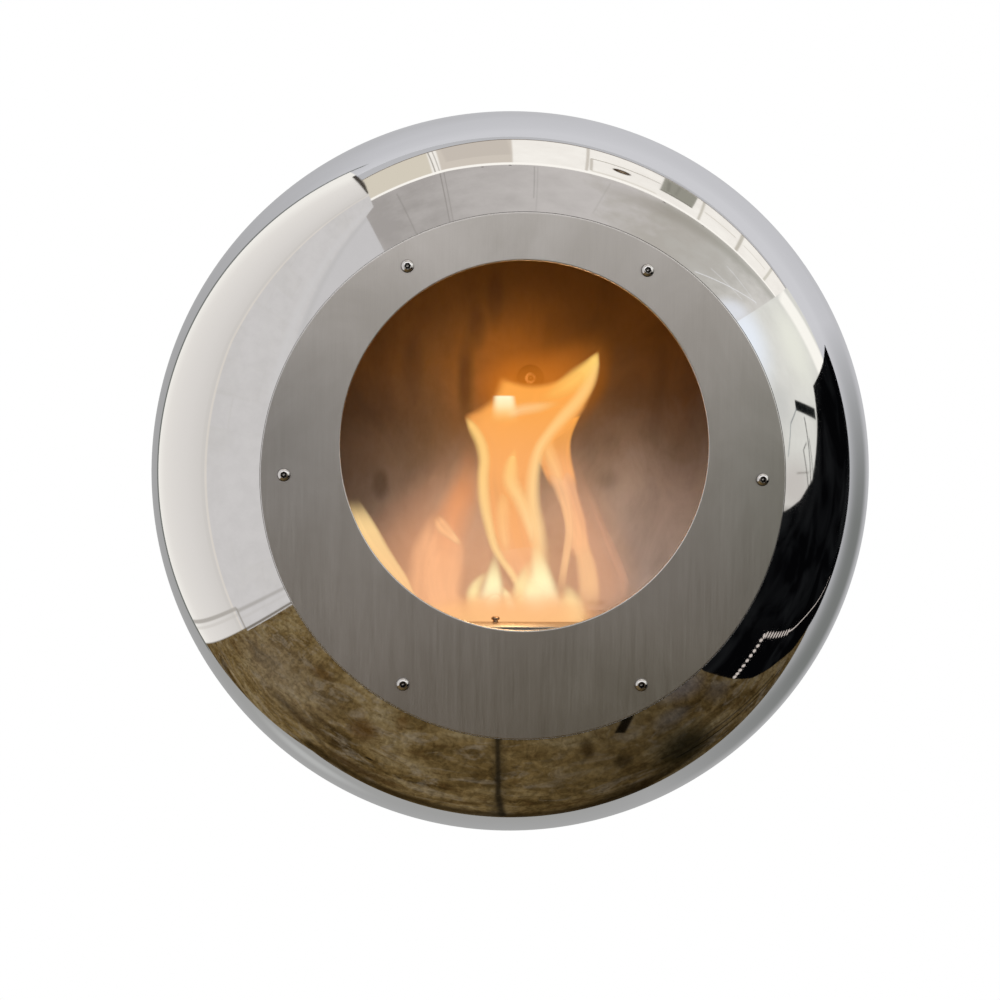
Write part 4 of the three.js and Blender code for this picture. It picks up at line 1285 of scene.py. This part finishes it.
floorMarks = [
    ("spot", (-0.95, -0.55), (0.5, 0.5), 0.1, (120, 106, 86), 0.5),
    ("spot", (0.25, -0.50), (0.30, 0.35), 0.1, (112, 92, 56), 0.5),
    ("bar", (-0.60, -0.07), (0.45, -0.02), 0.05, 0.07, (46, 34, 16), 0.85),
    ("spot", (-0.41, -0.17), (0.20, 0.08), 0.2, (54, 36, 14), 0.8),
    ("spot", (0.60, -0.27), (0.20, 0.36), 0.2, (27, 24, 12), 0.9),
    ("spot", (0.42, -0.10), (0.24, 0.10), 0.2, (40, 30, 14), 0.8),
    ("spot", (-0.45, -0.55), (0.08, 0.14), 0.3, (76, 52, 22), 0.75),
    ("spot", (-0.33, -0.72), (0.03, 0.08), 0.3, (84, 60, 30), 0.6),
    ("spot", (-0.74, -0.82), (0.09, 0.08), 0.3, (80, 58, 28), 0.75),
    ("spot", (-0.86, -0.70), (0.05, 0.10), 0.3, (84, 66, 38), 0.6),
    ("spot", (0.28, -0.60), (0.035, 0.12), 0.2, (52, 36, 14), 0.7),
    ("spot", (0.38, -0.43), (0.05, 0.09), 0.2, (48, 36, 18), 0.8),
    ("spot", (0.75, -0.85), (0.18, 0.20), 0.2, (116, 108, 104), 0.75),
    ("spot", (0.88, -0.60), (0.11, 0.14), 0.2, (92, 82, 72), 0.6),
    ("bar", (0.405, -0.66), (0.475, -0.78), 0.022, 0.012, (10, 8, 4), 0.95),
    ("spot", (-0.38, -0.34), (0.022, 0.013), 0.3, (24, 16, 8), 0.9),
    ("bar", (-0.015, -1.3), (0.006, -0.30), 0.007, 0.010, (26, 20, 12), 0.85),
    ("bar", (0.006, -0.30), (0.028, -0.02), 0.009, 0.014, (24, 18, 12), 0.85),
    ("bar", (-0.012, -1.3), (0.012, -0.02), 0.020, 0.030, (48, 41, 28), 0.45),
    ("bar", (0.55, -0.22), (1.25, -0.10), 0.006, 0.010, (12, 9, 5), 0.9),
    ("bar", (0.50, -0.30), (1.20, -0.16), 0.010, 0.020, (40, 33, 22), 0.7),
    ("spot", (0.62, -0.62), (0.12, 0.10), 0.2, (104, 98, 92), 0.6),
    ("spot", (-0.70, -0.30), (0.30, 0.10), 0.1, (60, 46, 28), 0.7),
]


# 1 inside the bar and 0 past its soft edge: the distances along and across it from its middle, by dot
# products, each against its own half-length.
def barShare(tree, coords, start, end, halfWidth, soft, facing):
    start, end = np.array(start), np.array(end)
    length = np.linalg.norm(end - start)
    along = (end - start) / length
    across = np.cross(facing, along)
    away = addNode(tree, "VectorMath", {0: coords, 1: (start + end) / 2}, operation="SUBTRACT")
    shares = []
    for direction, half in ((along, length / 2), (across, halfWidth)):
        reach = addNode(tree, "VectorMath", {0: away.outputs[0], 1: direction}, operation="DOT_PRODUCT")
        reach = maths(tree, "ABSOLUTE", reach.outputs["Value"])
        shares.append(ranged(tree, reach, half - soft / 2, half + soft / 2, 1, 0, smooth=True))
    return maths(tree, "MULTIPLY", *shares)


# Lays each mark over the tone; flat is the card's axis and level its place on that axis.
def marked(tree, coords, tone, marks, flat, level):
    facing = np.eye(3)[flat]
    for kind, first, second, *rest in marks:
        shade, strength = rest[-2:]
        if kind == "bar":
            ends = [np.insert(np.array(end, float), flat, level) for end in (first, second)]
            share = barShare(tree, coords, *ends, *rest[:-2], facing)
        else:
            centre = np.insert(np.array(first, float), flat, level)
            halfSizes = np.insert(second, flat, 5.0)
            share = spot(tree, coords, tuple(centre), tuple(halfSizes), rest[0])
        tone = mixed(tree, maths(tree, "MULTIPLY", share, strength), tone, seen(*shade))
    return tone


# A self-lit flat card that the camera doesn't see, with its colour worked out by a painter.
def makeCard(name, corners, paint, faces=None):
    mesh = bpy.data.meshes.new(name)
    count = len(corners) // 2
    faces = faces or [(i, i + 1, 2 * count - 2 - i, 2 * count - 1 - i) for i in range(count - 1)]
    mesh.from_pydata(corners, [], faces)
    obj = bpy.data.objects.new(name, mesh)
    bpy.context.scene.collection.objects.link(obj)
    material = bpy.data.materials.new(name)
    material.use_nodes = True
    tree = material.node_tree
    tree.nodes.remove(tree.nodes["Principled BSDF"])
    coords = addNode(tree, "TexCoord").outputs["Object"]
    light = addNode(tree, "Emission", {"Color": paint(tree, coords), "Strength": 1.0})
    tree.links.new(light.outputs[0], tree.nodes["Material Output"].inputs[0])
    mesh.materials.append(material)
    obj.visible_camera = False
    return obj


# Blue-grey wall: its tone rises with 0.5 x + 0.8 z, and a shadow rings the pod, deepest where the
# direction from the pod's axis is nearest to the right and a little below.
def paintWall(tree, coords):
    rising = addNode(tree, "VectorMath", {0: coords, 1: (0.5, 0, 0.8)}, operation="DOT_PRODUCT")
    level = ranged(tree, rising.outputs["Value"], -0.6, 1.1, 0, 1)
    cloud = maths(tree, "SUBTRACT", grain(tree, coords, (3, 3, 3), 3), 0.5)
    tone = ramp(
        tree,
        maths(tree, "MULTIPLY_ADD", cloud, 0.15, level),
        stopsOf(
            seen, (0.0, 156, 156, 154), (0.27, 162, 162, 162), (0.48, 178, 178, 180),
            (0.62, 191, 191, 194), (1.0, 202, 202, 205),
        ),
    )
    reach = addNode(tree, "VectorMath", {0: coords}, operation="LENGTH").outputs["Value"]
    direction = addNode(tree, "VectorMath", {0: coords}, operation="NORMALIZE")
    lowRight = addNode(
        tree, "VectorMath", {0: direction.outputs[0], 1: (0.94, 0, -0.34)}, operation="DOT_PRODUCT"
    )
    side = ranged(tree, lowRight.outputs["Value"], 0.72, 0.98, 0, 1)
    ring = maths(
        tree,
        "MULTIPLY",
        ranged(tree, reach, 0.42, 0.60, 0, 1, smooth=True),
        ranged(tree, reach, 0.68, 1.6, 1, 0.3, smooth=True),
    )
    tone = mixed(tree, maths(tree, "MULTIPLY", ring, side), tone, seen(116, 118, 116))
    return marked(tree, coords, tone, wallMarks, 1, room["wallY"])


# Ceiling: a pale strip by the wall with a painted highlight along its lower edge, then grey plaster. The
# strip ends at y = -0.81 - 0.16 max(-0.4 - x, 0) - 0.022 max(x - 1.2, 0); a thin line runs at -0.10 - 0.13
# max(-x, 0).
def paintCeiling(tree, coords):
    axes = addNode(tree, "SeparateXYZ", {0: coords})
    x, y = axes.outputs["X"], axes.outputs["Y"]
    left = maths(tree, "MAXIMUM", maths(tree, "MULTIPLY_ADD", x, -1.0, -0.4), 0.0)
    right = maths(tree, "MAXIMUM", maths(tree, "SUBTRACT", x, 1.2), 0.0)
    past = maths(tree, "MULTIPLY_ADD", left, 0.16, maths(tree, "MULTIPLY_ADD", right, 0.022, y))
    cloud = grain(tree, coords, (3, 3, 3), 6, 0.65)
    along = ranged(tree, x, -1.1, 3.6, 0, 1)
    shade = maths(tree, "MULTIPLY_ADD", maths(tree, "SUBTRACT", cloud, 0.5), 0.5, along)
    plaster = ramp(
        tree,
        shade,
        stopsOf(
            seen, (0.0, 160, 155, 151), (0.22, 180, 175, 171), (0.40, 192, 187, 183),
            (0.55, 174, 169, 161), (0.75, 182, 179, 172), (1.0, 204, 201, 195),
        ),
    )
    plaster = marked(tree, coords, plaster, ceilingMarks["plaster"], 2, room["ceilingZ"])
    cream = ramp(tree, cloud, stopsOf(seen, (0.3, 234, 229, 221), (0.7, 244, 240, 232)))
    cream = marked(tree, coords, cream, ceilingMarks["strip"], 2, room["ceilingZ"])
    # A painted highlight along the strip's lower edge.
    bright = ranged(tree, past, -0.765, -0.745, 1, 0, smooth=True)
    cream = mixed(tree, bright, cream, seen(250, 246, 238))
    tone = mixed(tree, ranged(tree, past, -0.815, -0.805, 0, 1), plaster, cream)
    leftward = maths(tree, "MAXIMUM", maths(tree, "MULTIPLY", x, -1.0), 0.0)
    cornice = maths(tree, "MULTIPLY_ADD", leftward, 0.13, y)
    tone = mixed(tree, ranged(tree, cornice, -0.118, -0.108, 0, 1), tone, seen(112, 100, 88))
    return mixed(tree, ranged(tree, cornice, -0.098, -0.088, 0, 1), tone, seen(182, 182, 184))


# Left side: smooth and graded by the wall, then a ridge at y = -0.352 - 0.155 max(z - 0.25, 0), then
# brick under plaster.
def paintLeft(tree, coords):
    axes = addNode(tree, "SeparateXYZ", {0: coords})
    y, z = axes.outputs["Y"], axes.outputs["Z"]
    rise = maths(tree, "MAXIMUM", maths(tree, "SUBTRACT", z, 0.25), 0.0)
    ridge = maths(tree, "MULTIPLY_ADD", rise, 0.155, y)
    cloud = grain(tree, coords, (5, 5, 5), 5, 0.65)
    smooth = ramp(
        tree,
        ranged(tree, ridge, -0.352, 0.0, 0, 1),
        stopsOf(
            seen, (0.0, 205, 201, 196), (0.25, 214, 210, 205), (0.7, 224, 220, 214),
            (1.0, 238, 235, 228),
        ),
    )
    flat = addNode(tree, "CombineXYZ", {0: y, 1: z})
    brick = addNode(
        tree,
        "TexBrick",
        {
            "Vector": flat.outputs[0],
            "Color1": seen(197, 194, 191),
            "Color2": seen(199, 196, 194),
            "Mortar": seen(196, 193, 190),
            "Scale": 1.0,
            "Mortar Size": 0.006,
            "Mortar Smooth": 0.6,
            "Brick Width": 0.22,
            "Row Height": 0.072,
        },
    )
    rough = mixed(tree, ranged(tree, cloud, 0.4, 0.6, 0, 1.0), brick.outputs[0], seen(200, 197, 195))
    stain = ramp(tree, grain(tree, coords, (14, 14, 30), 5, 0.7), [(0.35, 0.965), (0.6, 1.02)])
    rough = mixed(tree, 1.0, rough, stain, "MULTIPLY")
    tone = mixed(tree, ranged(tree, ridge, -0.356, -0.346, 1, 0), smooth, rough)
    # Beside the ridge, a painted highlight on its outer side and a painted shade on its inner side.
    for low, high, shade, share in (
        (-0.360, -0.354, seen(222, 214, 202), 0.6),
        (-0.348, -0.338, seen(198, 194, 188), 0.4),
    ):
        inside = ranged(tree, ridge, low - 0.004, low, 0, share)
        band = maths(tree, "MULTIPLY", inside, ranged(tree, ridge, high, high + 0.004, 1, 0))
        tone = mixed(tree, band, tone, shade)
    return marked(tree, coords, tone, leftMarks, 0, room["leftX"])


# Right side: a far pale wall with brighter and greyer parts.
def paintRight(tree, coords):
    cloud = grain(tree, coords, (2, 2, 2), 6, 0.7)
    tone = ramp(tree, cloud, stopsOf(seen, (0.3, 206, 205, 198), (0.7, 220, 219, 212)))
    return marked(tree, coords, tone, rightMarks, 0, room["rightX"])


# Behind the camera: brown and dark low down, bright high up, which grades the brushed plate.
def paintFront(tree, coords):
    axes = addNode(tree, "SeparateXYZ", {0: coords})
    return ramp(
        tree,
        ranged(tree, axes.outputs["Z"], -0.87, 2.2, 0, 1),
        stopsOf(
            colour, (0.0, 0.05, 0.036, 0.022), (0.17, 0.12, 0.098, 0.07), (0.30, 0.34, 0.32, 0.29),
            (0.46, 0.82, 0.80, 0.77), (0.70, 1.22, 1.2, 1.18),
        ),
    )


# Worn brown floor: stains and fine scratches that darken to the right, and the marks.
def paintFloor(tree, coords):
    axes = addNode(tree, "SeparateXYZ", {0: coords})
    stain = grain(tree, coords, (3.2, 4.4, 1), 7, 0.6, 0.9)
    fine = grain(tree, coords, (46, 20, 1), 8, 0.75, 0.6)
    mottle = maths(tree, "MULTIPLY_ADD", stain, 0.8, maths(tree, "MULTIPLY", fine, 0.2))
    tone = ramp(
        tree,
        mottle,
        stopsOf(
            seen, (0.36, 66, 51, 26), (0.44, 92, 74, 42), (0.52, 111, 92, 58), (0.60, 126, 109, 76),
            (0.68, 142, 127, 98),
        ),
    )
    worn = grain(tree, coords, (5.5, 8.0, 1), 7, 0.68, 1.4)
    tone = mixed(tree, ranged(tree, worn, 0.52, 0.64, 0, 0.6), tone, seen(132, 120, 102))
    tone = mixed(tree, ranged(tree, worn, 0.46, 0.38, 0, 0.55), tone, seen(70, 49, 23))
    tone = marked(tree, coords, tone, floorMarks, 2, room["floorZ"])
    across = ranged(tree, axes.outputs["X"], -1.0, 1.0, 0, 1)
    dim = ramp(tree, across, [(0.0, 0.95), (0.45, 0.80), (0.72, 0.42), (1.0, 0.5)], True)
    speckle = ramp(tree, fine, [(0.38, 0.68), (0.62, 1.22)])
    tone = mixed(tree, 1.0, tone, speckle, "MULTIPLY")
    return mixed(tree, 1.0, tone, dim, "MULTIPLY")


# The floor is pale and takes shadows for the camera, and shows the worn floor to the steel.
def makeFloor():
    z = room["floorZ"]
    half, back, front = room["floorHalf"], room["floorBack"], room["floorFront"]
    corners = [(-half, back, z), (half, back, z), (half, front, z), (-half, front, z)]
    obj = makeCard("floor", corners, paintFloor)
    tree = obj.data.materials[0].node_tree
    pale = addNode(tree, "BsdfDiffuse", {"Color": colour(0.86, 0.86, 0.85)})
    path = addNode(tree, "LightPath")
    out = tree.nodes["Material Output"].inputs[0]
    worn = out.links[0].from_socket
    mix = addNode(tree, "MixShader", {0: path.outputs["Is Camera Ray"], 1: worn, 2: pale.outputs[0]})
    tree.links.new(mix.outputs[0], out)
    obj.visible_camera = True


# A dark upholstered side to the right, between an upper and a lower line, with a row of studs.
darkSide = dict(
    top=[
        (1.33, -2.4, -0.24), (1.33, -0.92, -0.193), (1.33, -0.858, -0.171), (1.33, -0.755, -0.13),
        (1.33, -0.695, -0.085), (1.33, -0.629, -0.041), (1.33, -0.592, 0.043), (1.33, -0.52, 0.21),
        (1.33, -0.478, 0.354), (1.33, -0.2, 0.436), (1.33, -0.02, 0.50),
    ],
    foot=[
        (0.86, -2.4, -0.87), (0.89, -1.0, -0.87), (0.899, -0.855, -0.87), (0.95, -0.71, -0.87),
        (0.991, -0.592, -0.87), (1.079, -0.422, -0.87), (1.216, -0.298, -0.87), (1.314, -0.228, -0.87),
        (1.33, -0.119, -0.793), (1.33, -0.05, -0.6), (1.33, -0.02, -0.1),
    ],
)


def paintDark(tree, coords):
    fold = grain(tree, coords, (4, 4, 3), 3, 0.5, 1.0)
    return ramp(tree, fold, stopsOf(seen, (0.45, 4, 4, 5), (0.7, 22, 23, 24)))


studRow = dict(
    line=[
        (0.984, -0.589, -0.85), (1.001, -0.591, -0.811), (1.024, -0.596, -0.759), (1.049, -0.595, -0.710),
        (1.072, -0.598, -0.662), (1.098, -0.551, -0.659), (1.127, -0.493, -0.661), (1.162, -0.435, -0.663),
        (1.219, -0.379, -0.672),
    ],
    count=19,
    size=0.0085,
    stretch=2.0,
    seam=[
        (1.219, -0.379, -0.672), (1.269, -0.327, -0.669), (1.304, -0.266, -0.635), (1.313, -0.202, -0.586),
        (1.314, -0.145, -0.537), (1.314, -0.102, -0.478), (1.314, -0.082, -0.415),
    ],
    seamWidth=0.005,
    seamCount=24,
)


# Six-sided discs along a line, stretched across it as the bowl squeezes them, and a narrow ribbon after
# them, all facing the pod's middle.
def makeStuds():
    centres = smoothLine(studRow["line"], studRow["count"])
    facing = -centres / np.linalg.norm(centres, axis=1, keepdims=True)
    onward = np.gradient(centres, axis=0)
    sideways = np.cross(facing, onward)
    sideways /= np.linalg.norm(sideways, axis=1, keepdims=True)
    onward = np.cross(sideways, facing)
    turn = (np.arange(6) * np.pi / 3)[None, :, None]
    rim = sideways[:, None] * np.cos(turn) * studRow["stretch"] + onward[:, None] * np.sin(turn)
    discs = (centres[:, None] + rim * studRow["size"]).reshape(-1, 3)
    seam = smoothLine(studRow["seam"], studRow["seamCount"])
    lift = np.array([0, 0, studRow["seamWidth"]])
    points = np.concatenate([discs, seam - lift, seam + lift])
    first = len(discs)
    step = np.arange(len(seam) - 1)
    ribbon = np.stack([step, step + 1, step + 1 + len(seam), step + len(seam)], -1) + first
    faces = [*np.arange(first).reshape(-1, 6).tolist(), *ribbon.tolist()]
    makeCard("studs", points.tolist(), lambda tree, coords: seen(196, 186, 178), faces)


# The back wall stops short at the lower left, where the steel shows the floor instead.
def makeRoom():
    y, low, high = room["wallY"], room["floorZ"], room["ceilingZ"]
    left, right, front = room["leftX"], room["rightX"], room["frontY"]
    far, foot, end = room["farLeft"], room["wallFoot"], room["wallEnd"]
    corners = [(far, y, foot), (end, y, foot), (end, y, low), (right, y, low)]
    corners += [(right, y, high), (end, y, high), (end, y, high), (far, y, high)]
    makeCard("backWall", corners, paintWall)
    corners = [(far, 0, high), (right, 0, high), (right, front, high), (far, front, high)]
    makeCard("ceiling", corners, paintCeiling)
    corners = [(left, *place) for place in room["leftFoot"] + room["leftTop"][::-1]]
    makeCard("leftSide", corners, paintLeft)
    corners = [(right, 0, low), (right, front, low), (right, front, high), (right, 0, high)]
    makeCard("rightSide", corners, paintRight)
    corners = [(far, front, low), (right, front, low), (right, front, high), (far, front, high)]
    makeCard("frontSide", corners, paintFront)
    makeCard("darkSide", [*darkSide["top"], *darkSide["foot"][::-1]], paintDark)
    makeStuds()


makeFloor()
makeRoom()


lamps = dict(
    softTop=("AREA", (-0.5, -1.9, 1.6), (0.0, -0.2, 0.0), 38, 1.4, (1, 0.98, 0.97), False),
    flameBack=("AREA", (0.0, -0.215, 0.045), (0.0, 0.0, 0.04), 0.48, 0.13, (1, 0.8, 0.5), False),
    flameHigh=("POINT", (0.0, -0.21, 0.03), None, 0.3, 0.03, (1, 0.64, 0.32), False),
    flameLow=("POINT", (-0.005, -0.232, -0.085), None, 0.35, 0.025, (1, 0.62, 0.3), True),
)


def makeLamps():
    for name, (kind, place, aim, power, size, tint, glossy) in lamps.items():
        data = bpy.data.lights.new(name, kind)
        data.energy = power
        data.color = tint
        if kind == "AREA":
            data.shape = "DISK"
            data.size = size
        else:
            data.shadow_soft_size = size
        obj = bpy.data.objects.new(name, data)
        obj.location = place
        if aim:
            obj.rotation_euler = (Vector(aim) - Vector(place)).to_track_quat("-Z", "Y").to_euler()
        obj.visible_camera = False
        obj.visible_glossy = glossy
        bpy.context.scene.collection.objects.link(obj)


# White to the camera, to gloss and through glass; soft grey light otherwise.
def makeWorld():
    world = bpy.data.worlds.new("studio")
    bpy.context.scene.world = world
    world.use_nodes = True
    tree = world.node_tree
    path = addNode(tree, "LightPath")
    direct = path.outputs["Is Camera Ray"]
    for name in ("Is Glossy Ray", "Is Transmission Ray"):
        direct = maths(tree, "MAXIMUM", direct, path.outputs[name])
    strength = ranged(tree, direct, 0, 1, 0.6, 1.0)
    background = tree.nodes["Background"]
    background.inputs["Color"].default_value = colour(1, 1, 1)
    tree.links.new(strength, background.inputs["Strength"])


makeLamps()
makeWorld()
makeCamera()
scene = bpy.context.scene
scene.view_settings.view_transform = "Standard"
scene.cycles.transparent_max_bounces = 32
print("room, light and camera made")
